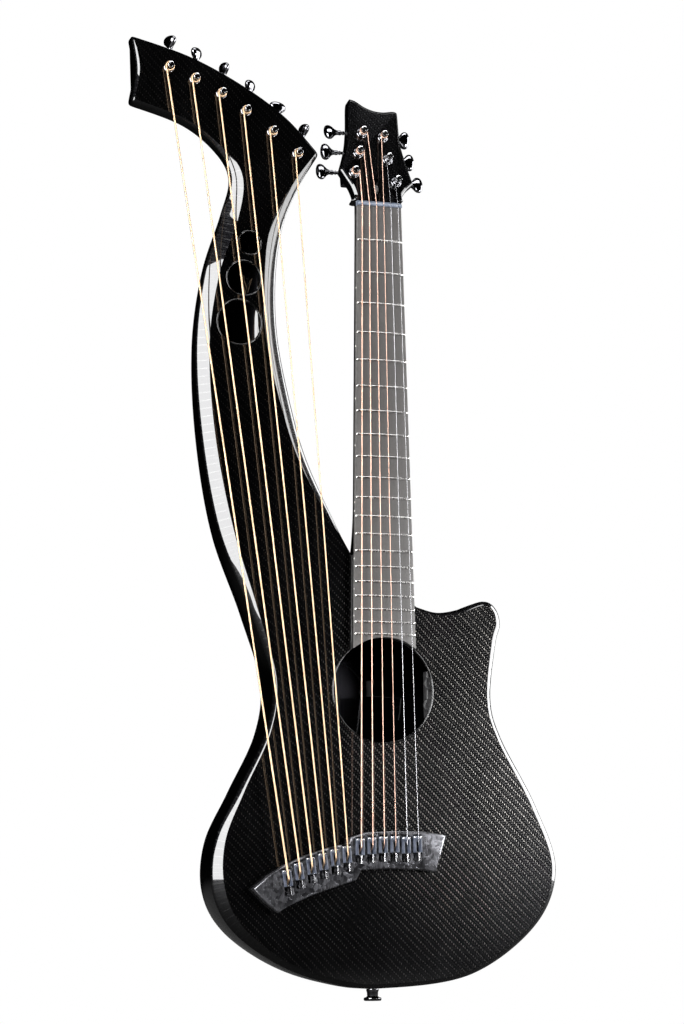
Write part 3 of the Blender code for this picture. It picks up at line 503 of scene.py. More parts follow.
def stringMaterial(name, look):      # winding wire round a core: ridges along the string's own length
    material, tree, shader, place = newMaterial(name)
    source = tree.nodes.new("ShaderNodeUVMap")
    source.uv_map = "winding"
    axes = axesOf(tree, source.outputs["UV"])
    turns = addMath(tree, "MULTIPLY", axes["Y"], 2 * pi / look["wire"])
    ridge = addMath(tree, "ABSOLUTE", addMath(tree, "SINE", addMath(tree, "ADD", turns, axes["X"])))
    groove = spread(tree, ridge, 0.0, 0.45, 1.0, 0.0)
    tarnish = noiseOf(tree, place.outputs["Object"], 55.0, 4.0, 0.6)
    colour = mixColours(tree, spread(tree, tarnish, 0.4, 0.75, 0.0, 0.7), look["bright"], look["dull"])
    strength = addMath(tree, "MULTIPLY", groove, look["groove"])
    giveColour(tree, shader, strength, colour, (0.05, 0.035, 0.025))
    giveMarks(tree, shader, place, look["roughness"], 0.15)
    giveBump(tree, shader, ridge, look["groove"], 0.0001)
    shader.inputs["Metallic"].default_value = 0.85
    return material


forgedCarbon = forgedMaterial()
boardComposite = mouldedMaterial("boardComposite", {
    "dark": (0.044, 0.042, 0.041), "pale": (0.066, 0.063, 0.061), "edge": (0.10, 0.097, 0.095),
    "grain": 700.0, "roughness": 0.36, "marks": 0.2, "bump": 0.25, "specular": 0.5})
nutComposite = mouldedMaterial("nutComposite", {
    "dark": (0.045, 0.058, 0.085), "pale": (0.070, 0.087, 0.120), "edge": (0.16, 0.18, 0.22), "grain": 500.0,
    "roughness": 0.35, "marks": 0.15, "bump": 0.1, "specular": 0.5})
saddleComposite = mouldedMaterial("saddleComposite", {
    "dark": (0.016, 0.021, 0.036), "pale": (0.028, 0.036, 0.056), "edge": (0.09, 0.10, 0.13), "grain": 500.0,
    "roughness": 0.36, "marks": 0.15, "bump": 0.1, "specular": 0.5})
blackPlastic = mouldedMaterial("blackPlastic", {
    "dark": (0.008, 0.008, 0.009), "pale": (0.018, 0.018, 0.019), "edge": (0.05, 0.05, 0.05), "grain": 1200.0,
    "roughness": 0.42, "marks": 0.2, "bump": 0.3, "specular": 0.5})
dotWhite = mouldedMaterial("dotWhite", {
    "dark": (0.62, 0.61, 0.58), "pale": (0.80, 0.79, 0.76), "edge": (0.80, 0.79, 0.76), "grain": 900.0,
    "roughness": 0.35, "marks": 0.1, "bump": 0.05, "specular": 0.5})
blackChrome = metalMaterial("blackChrome", {
    "bright": (0.17, 0.17, 0.18), "dull": (0.08, 0.08, 0.09), "roughness": 0.07, "marks": 0.08, "bump": 0.02})
brightChrome = metalMaterial("brightChrome", {
    "bright": (0.50, 0.50, 0.51), "dull": (0.33, 0.33, 0.34), "roughness": 0.10, "marks": 0.1, "bump": 0.03})
screwSteel = metalMaterial("screwSteel", {
    "bright": (0.62, 0.62, 0.62), "dull": (0.40, 0.40, 0.40), "roughness": 0.22, "marks": 0.2, "bump": 0.1})
fretSteel = metalMaterial("fretSteel", {
    "bright": (0.50, 0.49, 0.48), "dull": (0.34, 0.33, 0.32), "roughness": 0.20, "marks": 0.18, "bump": 0.05})
bassBronze = stringMaterial("bassBronze", {
    "bright": (0.66, 0.46, 0.29), "dull": (0.40, 0.26, 0.15), "wire": 0.00055, "groove": 0.5, "roughness": 0.28})
phosphorBronze = stringMaterial("phosphorBronze", {
    "bright": (0.62, 0.41, 0.32), "dull": (0.38, 0.23, 0.17), "wire": 0.0004, "groove": 0.45, "roughness": 0.26})
plainSteel = stringMaterial("plainSteel", {
    "bright": (0.40, 0.40, 0.42), "dull": (0.28, 0.28, 0.29), "wire": 0.002, "groove": 0.0, "roughness": 0.16})
print("materials: carbon, forged carbon, composites, metals and strings")


# Outline of the hollow body, anticlockwise from the front:
# x, z, bevel width, bevel depth at the outer edge, inset of the back, corner

bodyOutline = [
    (-4, -147, 4, 4, 24, 0), (90, -135, 4, 4, 24, 0), (161, -87, 5, 4.5, 24, 0), (185, -30, 6, 5, 24, 0),
    (164, 34, 6, 5, 24, 0), (128, 102, 5.5, 5, 22, 0), (117.5, 142, 5.5, 5, 18, 0), (124, 198, 6, 5, 9, 0),
    (129.5, 219, 6, 5, 6, 0), (124, 236, 5, 4.5, 5.5, 0), (110, 242, 4.5, 4, 6, 0), (84, 233, 4, 4, 9, 0),
    (60, 229, 3, 3, 10, 0), (38, 234, 2, 2, 10, 1), (-32, 287, 2, 2, 10, 1),
    (-47, 316, 5, 4, 14, 0), (-76, 381, 10, 7, 20, 0), (-92, 438, 13, 8.5, 22, 0), (-105, 505, 15, 9, 22, 0),
    (-107, 565, 15, 9, 20, 0), (-100, 620, 14, 8, 17, 0), (-84, 663, 8, 5, 11, 0),
    (-61, 702, 3.4, 3, 4, 1), (-96, 737.5, 2.2, 2, 4, 0), (-140, 767, 2.2, 2, 4, 0), (-198, 794, 2.2, 2, 4, 0),
    (-261, 811, 3, 2.6, 4, 1), (-255.5, 776, 4, 3, 4, 0), (-261, 741, 3, 2.6, 4, 1),
    (-205, 724.5, 2.4, 2.4, 4, 0), (-170, 699, 4, 3, 7, 0), (-155, 671, 11, 6.5, 12, 0),
    (-164, 632, 16, 9, 17, 0), (-183, 571, 14.5, 9, 20, 0), (-192.5, 494, 13, 8.5, 22, 0),
    (-187, 402, 13, 8.5, 22, 0),
    (-169.5, 308, 13.5, 8.5, 24, 0), (-138, 227, 7, 6, 24, 0), (-116.5, 160, 4.5, 4.5, 24, 0),
    (-122, 108, 4.5, 4.5, 24, 0), (-150, 50, 5.5, 5, 24, 0), (-174, 0, 9, 6.5, 24, 0), (-177, -49, 11, 7, 24, 0),
    (-157, -89, 9.5, 6.5, 24, 0), (-110.5, -122.5, 6, 5, 24, 0), (-58, -141, 5, 5, 24, 0)]

shell = {"step": 4.0, "topThickness": 3.0, "wall": 3.0, "ledge": 5.0, "shoulder": 12.0, "sideShare": 0.22,
         "chamberEnd": 664.0, "cornerReach": 8.0, "headLevel": 650, "lowBend": 230, "lowEase": 12.0,
         "armEase": 36.0, "minimumTurn": 0.6,
         "depths": [(-160, 95), (200, 81.2), (430, 52), (640, 24), (690, 19), (830, 19)],
         "cuts": [188, 194, 200, 206, 212] + list(range(390, 480, 12)) + list(range(600, 705, 8))}
holes = {"sound": (0.0, 148.4, 52.6), "arm": [(-137, 602, 11.8), (-143, 565, 17.6), (-148, 519, 22.8)]}


def fineOutline(points, step):      # even samples along the closed spline, with softened corners
    stations = []
    count = len(points)
    for i in range(count):
        here = points[i]
        after = points[(i + 1) % count]
        before = here if here[5] else points[i - 1]
        beyond = after if after[5] else points[(i + 2) % count]
        length = hypot(after[0] - here[0], after[1] - here[1])
        steps = max(2, ceil(length / step))
        near = [before[:5], here[:5], after[:5], beyond[:5]]
        for k in range(steps):
            stations.append(list(catmull(near, k / steps)))
    corners = [p for p in points if p[5] and p[1] > shell["headLevel"]]
    for _ in range(3):      # rounds the tips of the arm's head
        old = [list(s) for s in stations]
        for i, station in enumerate(stations):
            if any(hypot(station[0] - tip[0], station[1] - tip[1]) < shell["cornerReach"] for tip in corners):
                before, after = old[i - 1], old[(i + 1) % len(old)]
                for k in (0, 1):
                    station[k] = 0.5 * old[i][k] + 0.25 * (before[k] + after[k])
    return stations


stations = fineOutline(bodyOutline, shell["step"])


def inwardAt(i):
    x, z = stations[i][:2]
    before = stations[i - 1]
    after = stations[(i + 1) % len(stations)]
    one = Vector((x - before[0], z - before[1])).normalized()
    two = Vector((after[0] - x, after[1] - z)).normalized()
    middle = Vector((-(one + two).y, (one + two).x)).normalized()
    return middle / max(shell["minimumTurn"], middle.dot(Vector((-one.y, one.x))))


inwards = [inwardAt(i) for i in range(len(stations))]


def offsetRing(insetOf, depthOf):
    ring = []
    for station, inside in zip(stations, inwards):
        shift = insetOf(station)
        ring.append(at(station[0] + inside.x * shift, depthOf(station), station[1] + inside.y * shift))
    return ring


def depthAt(z):      # depth of the body, its bends eased over a short stretch
    def plain(level):
        for (z0, d0), (z1, d1) in zip(shell["depths"], shell["depths"][1:]):
            if level <= z1:
                return d0 + (d1 - d0) * max(0.0, (level - z0) / (z1 - z0))
        return shell["depths"][-1][1]
    reach = shell["lowEase"] if z < shell["lowBend"] else shell["armEase"]
    return sum(plain(z + reach * (k / 4)) for k in range(-4, 5)) / 9


def taperBack(piece, wallShare):      # cuts the straight blank across and draws its back in
    full = shell["depths"][0][1]
    shoulder = shell["shoulder"]
    pick(piece)
    bpy.ops.object.mode_set(mode="EDIT")
    for level in shell["cuts"]:
        bpy.ops.mesh.select_all(action="SELECT")
        bpy.ops.mesh.bisect(plane_co=at(0, 0, level), plane_no=(0, 0, 1))
    bpy.ops.object.mode_set(mode="OBJECT")
    for vertex in piece.data.vertices:
        depth = (vertex.co.y - faceY) / mm
        if depth > shoulder:
            level = (vertex.co.z - saddleZ) / mm
            share = (depth - shoulder) / (full - shoulder)
            vertex.co.y = faceY + (shoulder + share * (depthAt(level) - wallShare - shoulder)) * mm


def addWeaveMap(piece):      # length round the outline and length across it, for the twill on the sides
    run = [0.0]
    for i, station in enumerate(stations):
        after = stations[(i + 1) % len(stations)]
        run.append(run[-1] + hypot(after[0] - station[0], after[1] - station[1]) * mm)
    layer = piece.data.uv_layers.new(name="weave")
    count = len(stations)
    for face in piece.data.polygons:
        isFlat = len(face.vertices) > 4
        columns = [piece.data.loops[i].vertex_index % count for i in face.loop_indices]
        wraps = max(columns) - min(columns) > count / 2
        for i, column in zip(face.loop_indices, columns):
            place = piece.data.vertices[piece.data.loops[i].vertex_index].co
            across = (place.y - faceY) + 0.7 * abs(place.x - stations[column][0] * mm)
            along = run[-1] if wraps and column == 0 else run[column]
            layer.data[i].uv = (place.x, place.z) if isFlat else (along, across)


def belowShoulder(share):
    return shell["shoulder"] + share * (shell["depths"][0][1] - shell["shoulder"])


def backRings(steps, wall=0.0):      # the round turn from the straight side to the flat back
    rings = []
    for k in steps:
        angle = 0.5 * pi * k / steps[-1]
        share = shell["sideShare"] + (1 - shell["sideShare"]) * sin(angle)
        rings.append(offsetRing(lambda s: wall + s[4] * (1 - cos(angle)), lambda s: belowShoulder(share)))
    return rings


def makeShell():
    lip = shell["topThickness"] + 0.05
    rings = [offsetRing(lambda s: s[2], lambda s: lip), offsetRing(lambda s: s[2], lambda s: 0.0)]
    for k in range(1, 7):      # the bevel bows outwards a little
        t = k / 6
        rings.append(offsetRing(lambda s: 0.35 + (s[2] - 0.35) * (1 - t),
                                lambda s: s[3] * (0.72 * t + 0.28 * t * t)))
    rings.append(offsetRing(lambda s: 0.1, lambda s: s[3] + 0.6))
    rings.append(offsetRing(lambda s: 0.0, lambda s: s[3] + 1.5))
    rings.append(offsetRing(lambda s: 0.0, lambda s: belowShoulder(shell["sideShare"])))
    piece = loftRings("shell", rings + backRings(range(1, 9)))
    addWeaveMap(piece)
    taperBack(piece, 0.0)
    return piece


def makeChamber():
    lip = shell["topThickness"]
    ledge = shell["ledge"]
    wall = shell["wall"]
    rings = [offsetRing(lambda s: s[2] + ledge, lambda s: lip - 2),
             offsetRing(lambda s: s[2] + ledge, lambda s: lip + 3),
             offsetRing(lambda s: wall, lambda s: shell["shoulder"])]
    piece = loftRings("chamber", rings + backRings(range(5), wall))
    taperBack(piece, wall)
    pick(piece)
    bpy.ops.object.mode_set(mode="EDIT")
    bpy.ops.mesh.select_all(action="SELECT")
    bpy.ops.mesh.bisect(plane_co=at(0, 0, shell["chamberEnd"]), plane_no=(0, 0, 1), clear_outer=True,
                        use_fill=True)
    bpy.ops.object.mode_set(mode="OBJECT")
    return piece


bodyShell = makeShell()
useTool(bodyShell, makeChamber())
finishPiece(bodyShell, bodyCarbon, "body", ["body_shell"], 32)
print("body shell:", len(bodyShell.data.polygons), "faces")


def ringOnTop(x, z, radius, depth, sides):
    return [at(x + radius * u, depth, z + radius * v) for u, v in unitCircle(sides)]


def holeCutter(x, z, radius, low, high, sides):
    return loftRings("hole", [ringOnTop(x, z, radius, y, sides) for y in (low, high)])


topRims = [holes["sound"]] + holes["arm"]


def makeTop():
    thick = shell["topThickness"]
    piece = loftRings("top", [offsetRing(lambda s: s[2] + 0.25, lambda s: 0.0),
                              offsetRing(lambda s: s[2] + 0.05, lambda s: 0.2),
                              offsetRing(lambda s: s[2] + 0.05, lambda s: thick)])
    for x, z, radius in topRims:
        useTool(piece, holeCutter(x, z, radius, -5, 8, 120 if radius > 30 else 72))
    for x, z, radius in topRims:
        centre = at(x, 0, z)

        def onRim(co):
            away = hypot(co.x - centre.x, co.z - centre.z) / mm
            return abs(away - radius) < 0.05 and abs(co.y - faceY) < 1e-6

        bevelWhere(piece, onRim, 0.9, 3)
    return piece


top = finishPiece(makeTop(), topCarbon, "body", ["soundboard"], 10)
print("soundboard:", len(top.data.polygons), "faces")

# Lacquer lips round the openings of the top

for number, (x, z, radius) in enumerate(topRims):
    profile = [(radius + 0.55 - 0.75 * cos(pi * k / 8), -0.45 * sin(pi * k / 8)) for k in range(9)]
    rings = [ringOnTop(x, z, reach, depth + 0.02, 96) for reach, depth in profile]
    lip = loftRings(f"hole_lip_{number}", rings, caps=False)
    pick(lip)
    thicken = lip.modifiers.new("thicken", "SOLIDIFY")
    thicken.thickness = 0.0002
    thicken.offset = -1.0
    bpy.ops.object.modifier_apply(modifier=thicken.name)
    settleNormals(lip)
    finishPiece(lip, neckCarbon, "body", (), 50)


# Neck, headstock, fingerboard, frets and nut

neckSizes = {"face": -4.0, "depth": 17.0, "heelStart": 338.0, "heelDepth": 46.0, "headTilt": 10.0,
             "headStart": 6.0, "headThick": 14.0, "boardThick": 6.0, "camber": 1.0, "nutWidth": 47.8,
             "endWidth": 64.9, "frets": 20, "plateLip": 1.5, "heelRight": (38, 234),
             "heelLeft": (-32, 287), "volute": 3.0, "voluteReach": 26, "seatReach": 150, "boardStep": 9.06}
headFrame = Matrix.Translation(at(0, neckSizes["face"], scaleLength + neckSizes["headStart"])) \
    @ Matrix.Rotation(-radians(neckSizes["headTilt"]), 4, "X")
headOutline = [(-23.8, -0.6), (-24.4, 7), (-27.5, 17), (-33, 26.5), (-38, 35), (-33.4, 49), (-29.5, 64),
               (-26.5, 85), (-24.5, 112), (-22, 118), (-15.5, 116), (-6, 110), (4, 106.6), (14, 106),
               (24, 107.6), (28.3, 107), (29.8, 104), (30, 88.5), (30.6, 70.5), (34.2, 52), (38.4, 36),
               (41.5, 24.7), (34, 17.6), (27.6, 8.4), (25, 3.4), (23.8, -0.6)]
headTips = {4, 9, 21}      # points that stay sharp


def boardHalf(z):
    last = scaleLength / 2 ** (neckSizes["frets"] / 12)
    share = (scaleLength - z) / (scaleLength - last)
    return 0.5 * (neckSizes["nutWidth"] + (neckSizes["endWidth"] - neckSizes["nutWidth"]) * share)


def headPoint(x, y, z):
    return headFrame @ Vector((x * mm, y * mm, z * mm))


def makeNeck():
    face = neckSizes["face"]
    heelRun = neckSizes["heelStart"] - neckSizes["heelLeft"][1]
    levels = [scaleLength + 13, scaleLength + 9, scaleLength + 5]
    levels += [scaleLength - 12 * k for k in range(0, 26)]
    levels += [neckSizes["heelStart"] - 5 * k for k in range(1, 23)]
    rings = []
    for z in levels:
        half = boardHalf(min(z, scaleLength)) - 0.05
        share = min(1.0, max(0.0, (neckSizes["heelStart"] - z) / heelRun))
        deep = neckSizes["depth"] + (neckSizes["heelDepth"] + face - neckSizes["depth"]) * share * share
        nearNut = max(0.0, 1 - abs(z - scaleLength - 2) / neckSizes["voluteReach"])
        volute = neckSizes["volute"] * nearNut ** 2      # thickening behind the nut
        front = face
        if z > scaleLength:
            front = (headPoint(0, 0.4, z - scaleLength - neckSizes["headStart"]).y - faceY) / mm
        ring = [at(half, front, z)]
        for k in range(0, 25):
            angle = pi * k / 24
            swell = (deep + volute - 2.0) * sin(angle) ** 0.82
            ring.append(at(half * cos(angle), front + 2.0 + swell, z))
        ring.append(at(-half, front, z))
        rings.append(ring)
    return loftRings("neck", rings)


def shoulderCutter():      # everything behind the body's straight shoulder, where the heel is seated
    right = Vector(neckSizes["heelRight"])
    left = Vector(neckSizes["heelLeft"])
    along = (left - right).normalized()
    out = Vector((along.y, -along.x))
    start = right + out * 0.05
    reach = neckSizes["seatReach"]
    corners = [start - along * reach, start + along * reach, start + along * reach - out * reach,
               start - along * reach - out * reach]
    return loftRings("seat", [[at(corner.x, y, corner.y) for corner in corners] for y in (-0.05, reach)])


neck = makeNeck()
useTool(neck, shoulderCutter())


def makeNeckPlate():      # the thin foot under the end of the fingerboard
    sides = [(boardHalf(z) + neckSizes["plateLip"], z) for z in (284, 260, 240, 220, 205)]
    half = boardHalf(198) + neckSizes["plateLip"]
    centre, radius = holes["sound"][1], holes["sound"][2] + 0.6
    arc = []
    for k in range(0, 21):
        x = half * cos(pi * k / 20)
        arc.append((x, centre + sqrt(radius ** 2 - x ** 2)))
    points = sides + arc + [(-x, z) for x, z in reversed(sides)]
    piece = loftRings("neckPlate", [[at(x, y, z) for x, z in points] for y in (neckSizes["face"], -0.05)])
    level = at(0, neckSizes["face"], 0).y
    bevelWhere(piece, lambda co: abs(co.y - level) < 1e-6, 0.9, 3)
    return piece


def makeHead():
    rounded = []
    count = len(headOutline) - 1
    for i in range(count):
        near = [Vector(headOutline[(i + k) % count]) for k in (-1, 0, 1, 2)]
        if i in headTips:
            near[0] = near[1]
        if (i + 1) % count in headTips:
            near[3] = near[2]
        for k in range(5):
            rounded.append(catmull(near, k / 5) if i < count - 1 else near[1] + (near[2] - near[1]) * k / 5)
    thick = neckSizes["headThick"]
    steps = [(3.4, 0.0), (3.1, 0.05), (1.7, 0.8), (0.5, 1.9), (0.1, 2.7), (0.0, 3.6), (0.0, thick - 2.2),
             (0.3, thick - 1.0), (1.0, thick - 0.3), (2.0, thick)]
    return loftRings("headstock", [[headPoint(p.x, y, p.y) for p in insetLoop(rounded, distance, 0.55)]
                                   for distance, y in steps])


def slotCutter():      # long round-ended slot that leads to the truss rod's nut
    middle, halfRun, radius = 18.5, 5.0, 4.2
    ring = [(radius * u, middle + (halfRun if v >= 0 else -halfRun) + radius * v) for u, v in unitCircle(32)]
    return loftRings("slot", [[headPoint(x, y, z) for x, z in ring] for y in (-3, 6.5)])


head = makeHead()
useTool(head, slotCutter())
neck = joinPieces("neck", [neck, makeNeckPlate()])
finishPiece(neck, neckCarbon, "body", ["neck"], 40)
finishPiece(head, neckCarbon, "body", (), 10)


def makeRodEnd():      # the truss rod's threaded end with its hexagon nut
    rod = turnedPiece("rodEnd", [(-14, 0.1), (-14, 2.0), (5, 2.0), (5, 2.2), (5.1, 3.0), (11.4, 3.0), (11.8, 2.6),
                                 (11.8, 1.3), (9.5, 1.2), (9.5, 0.1)], 6)
    rod.data.transform(headFrame @ Matrix.Translation((0, 3.4 * mm, 8.0 * mm)))
    settleNormals(rod)
    return rod


finishPiece(makeRodEnd(), screwSteel, "body", ["truss_rod"], 20)
print("neck and headstock")


boardFront = neckSizes["face"] - 0.05 - neckSizes["boardThick"]


def makeBoard():
    front = boardFront
    back = neckSizes["face"] - 0.05
    rings = []
    for z in [scaleLength - 0.1 - neckSizes["boardStep"] * k for k in range(0, 52)]:
        half = boardHalf(z)
        ring = [at(half, back, z), at(half, front + 1.6, z)]
        for k in range(0, 17):
            share = 1 - k / 8
            crown = neckSizes["camber"] * share * share
            edge = 0.55 * max(0.0, abs(share) - 0.86) / 0.14
            ring.append(at(share * (half - 0.25), front + crown + edge * edge * 0.9, z))
        ring += [at(-half, front + 1.6, z), at(-half, back, z)]
        rings.append(ring)
    piece = loftRings("fingerboard", rings)
    x, z, radius = holes["sound"]
    useTool(piece, holeCutter(x, z, radius + 0.3, -15, 0, 120))
    return piece


finishPiece(makeBoard(), boardComposite, "body", ["fingerboard"], 30)

fret = {"width": 2.3, "height": 1.05, "overhang": -0.15}
fretModel = loftRings("fret", [
    [Vector((share, -fret["height"] * tall * sin(pi * k / 8), 0.5 * fret["width"] * cos(pi * k / 8)))
     for k in range(0, 9)] + [Vector((share, 0.5, side * fret["width"])) for side in (-0.5, 0.5)]
    for share, tall in [(-1.0, 0.1), (-0.985, 0.6), (-0.965, 0.9), (-0.94, 1.0)]
    + [(k / 8, 1.0) for k in range(-7, 8)] + [(0.94, 1.0), (0.965, 0.9), (0.985, 0.6), (1.0, 0.1)]])
for number in range(1, neckSizes["frets"] + 1):
    wire = copyOf(fretModel, f"fret_{number:02d}")
    z = scaleLength / 2 ** (number / 12)
    half = boardHalf(z) + fret["overhang"]
    for vertex in wire.data.vertices:
        share, tall, along = vertex.co
        vertex.co = at(share * half, boardFront + tall + neckSizes["camber"] * share * share, z + along)
    settleNormals(wire)
    finishPiece(wire, fretSteel, "body", (), 40)
bpy.data.objects.remove(fretModel, do_unlink=True)

dotParts = []
for number in (3, 5, 7, 9, 12, 15, 17, 19):
    z = 0.5 * (scaleLength / 2 ** (number / 12) + scaleLength / 2 ** ((number - 1) / 12))
    for shift in ((-4.5, 4.5) if number == 12 else (0.0,)):
        dot = turnedPiece("dot", [(0, 0.1), (0, 0.95), (0.25, 0.95), (0.32, 0.8), (0.35, 0.1)], 16)
        side = at(-boardHalf(z + shift) + 0.15, boardFront + 3.6, z + shift)
        dot.data.transform(Matrix.Translation(side) @ Matrix.Rotation(-pi / 2, 4, "Y"))
        dotParts.append(dot)
finishPiece(joinPieces("sideDots", dotParts), dotWhite, "body")


def makeNut():
    rings = []
    width = neckSizes["nutWidth"]
    for share in [-1, -0.985, -0.95, -0.6, -0.2, 0.2, 0.6, 0.95, 0.985, 1]:
        trim = 0.6 if abs(share) == 1 else 0.2 if abs(share) > 0.98 else 0.0
        crown = 0.5 * share * share
        ridge = [(-11.9, 0.0), (-12.5, 0.5), (-12.45, 1.6), (-11.7, 3.0), (-10.4, 4.3), (-9.6, 5.0)]
        ring = [(-3.95, 0.0)] + [(y + crown + trim, z) for y, z in ridge] + [(-3.95, 5.0)]
        rings.append([at(share * width / 2, y, scaleLength + z) for y, z in ring])
    return loftRings("nut", rings)


nut = makeNut()
for n, radius in enumerate((0.7, 0.58, 0.48, 0.4, 0.3, 0.26)):      # a slot for each string
    x = (n - 2.5) * 7.8
    y = -12.0 + 0.66 - (0.66, 0.53, 0.42, 0.34, 0.22, 0.17)[n]
    groove = turnedPiece("groove", [(-3, radius), (9, radius)], 12)
    groove.data.transform(Matrix.Translation(at(x, y, scaleLength)) @ Matrix.Rotation(radians(-4), 4, "X"))
    throat = softBox("throat", (-radius, -4.0, -3), (radius, 0.0, 9), 0.02, 1)
    throat.data.transform(Matrix.Translation(at(x, y, scaleLength)) @ Matrix.Rotation(radians(-4), 4, "X"))
    useTool(nut, groove)
    useTool(nut, throat)
finishPiece(nut, nutComposite, "body", ["nut"], 30)
print("fingerboard,", neckSizes["frets"], "frets and nut")


# Strings, bridge and saddles

stringSet = {"guitarRadii": [0.66, 0.53, 0.42, 0.34, 0.22, 0.17],
             "bassRadii": [0.95, 0.90, 0.85, 0.80, 0.75, 0.70],
             "guitarSaddle": 12.0, "guitarNut": 7.8, "guitarDepth": -15.2, "nutDepth": -12.0, "bassDepth": -14.6,
             "bassPostDepth": -5.6, "aboveHead": 7.0, "dropStart": 6.4, "dropEnd": 12.5, "postRadius": 3.0,
             "postGap": 0.3, "anchorDrop": 2.3, "ballDrop": 2.15,
             "guitarCrests": [-3.0, -2.0, -1.0, -0.5, -1.5, -0.5],
             "bassCrests": [(-106.0, -33.5), (-94.0, -27.0), (-81.5, -21.5), (-69.0, -17.5), (-56.5, -13.5),
                            (-44.0, -10.5)]}
bridgeSizes = {"top": -10.5, "pocketFloor": -3.2, "pocketBack": 22.0, "saddleWidth": 8.8, "front": 2.8,
               "back": 13.4, "slot": 3.4, "slotStart": 2.6, "travel": 1.8, "grubSide": 2.95,
               "screwLevel": 4.4, "screwPlace": -15.4}
bridgeOutline = [(-140, -49), (-124, -36), (-108, -26), (-87, -17), (-65, -10), (-41, -4.5), (-39, 1), (-22, 6),
                 (7, 7.5), (37, 7), (61, 3), (56, -14), (50, -33), (36, -31), (5, -30), (-28, -31),
                 (-34, -41), (-54, -47), (-81, -56), (-104, -66), (-114, -72), (-127, -62)]


def postSpot(name):      # centre and axis of a post, from the record
    joint = jointOf[f"wind_post_{name}"]
    return Vector(joint["pos_m"]), Vector(joint["axis"]).normalized()


courses = []
for n, name in enumerate(courseNames):
    centre, postAxis = postSpot(name)
    if name.startswith("bass"):
        radius = stringSet["bassRadii"][n]
        crest = at(stringSet["bassCrests"][n][0], stringSet["bassDepth"], stringSet["bassCrests"][n][1])
        post = Vector((centre.x, at(0, stringSet["bassPostDepth"], 0).y, centre.z))
        heading = (post - crest).normalized()
        away = Vector((-heading.z, 0, heading.x)).normalized()
        bends = [post + away * (stringSet["postRadius"] + stringSet["postGap"] + radius) * mm]
        material, slotName = bassBronze, "bass_string"
    else:
        k = n - 6
        radius = stringSet["guitarRadii"][k]
        crest = at((k - 2.5) * stringSet["guitarSaddle"], stringSet["guitarDepth"], stringSet["guitarCrests"][k])
        overNut = at((k - 2.5) * stringSet["guitarNut"],
                     stringSet["nutDepth"] + stringSet["guitarRadii"][0] - radius, scaleLength + 1.0)
        post = centre - postAxis * stringSet["aboveHead"] * mm
        away = Vector((1 if centre.x < 0 else -1, 0, 0))
        bends = [overNut, post + away * (stringSet["postRadius"] + stringSet["postGap"] + radius) * mm]
        material, slotName = (phosphorBronze, "wound_string") if k < 4 else (plainSteel, "plain_string")
    run = (bends[0] - crest).normalized()
    flat = Vector((run.x, 0, run.z)).normalized()
    courses.append({"name": name, "crest": crest, "bends": bends, "radius": radius, "run": run, "flat": flat,
                    "away": away, "post": post, "material": material, "slot": slotName, "postAxis": postAxis})


def tubeAlong(name, points, radius, sides=10):      # a round wire with a map along its length
    rings = []
    lengths = [0.0]
    for i, point in enumerate(points):
        heading = (points[min(len(points) - 1, i + 1)] - points[max(0, i - 1)]).normalized()
        turn = heading.to_track_quat("Z", "X")
        rings.append([point + turn @ spoke for spoke in circlePoints(radius, 0, sides)])
        if i:
            lengths.append(lengths[-1] + (point - points[i - 1]).length)
    piece = loftRings(name, rings)
    layer = piece.data.uv_layers.new(name="winding")
    for face in piece.data.polygons:
        columns = [piece.data.loops[i].vertex_index % sides for i in face.loop_indices]
        wraps = max(columns) - min(columns) > 1 and len(face.vertices) == 4
        for i, column in zip(face.loop_indices, columns):
            row = piece.data.loops[i].vertex_index // sides
            angle = 2 * pi * (sides if wraps and column == 0 else column) / sides
            layer.data[i].uv = (angle, lengths[row])
    return piece


def roundCorner(before, corner, after, reach, steps=5):      # a short curve in place of a kink
    start = corner + (before - corner).normalized() * reach
    end = corner + (after - corner).normalized() * reach
    return [start.lerp(corner, t).lerp(corner.lerp(end, t), t) for t in [k / steps for k in range(steps + 1)]]


for course in courses:
    crest, flat, run = course["crest"], course["flat"], course["run"]
    drop = crest - run * stringSet["dropStart"] * mm
    anchor = crest - flat * stringSet["dropEnd"] * mm
    anchor.y = at(0, bridgeSizes["pocketFloor"] - stringSet["anchorDrop"], 0).y
    stops = [anchor, drop] + course["bends"]
    path = [anchor] + roundCorner(anchor, drop, stops[2], 1.6 * mm)
    if len(course["bends"]) > 1:
        path += roundCorner(drop, stops[2], stops[3], 1.2 * mm)
    path.append(stops[-1])
    name = f"string_{course['name']}"
    wire = tubeAlong(name + "_wire", path, course["radius"] * mm)
    finishPiece(wire, course["material"], "body", [name], 50)

    ball = turnedPiece(name + "_ball", [(-2.1, 0.6), (-2.1, 1.6), (-1.5, 2.1), (-0.6, 1.5), (0.6, 1.5),
                                        (1.5, 2.1), (2.1, 1.6), (2.1, 0.6)], 18)
    seat = anchor.copy()      # in the bottom of its pocket
    seat.y = at(0, bridgeSizes["pocketFloor"] - stringSet["ballDrop"], 0).y
    ball.data.transform(Matrix.Translation(seat) @ Matrix.Rotation(pi / 2, 4, "Y"))
    settleNormals(ball)
    finishPiece(ball, brightChrome, "body", (), 40)
print("strings:", len(courses))


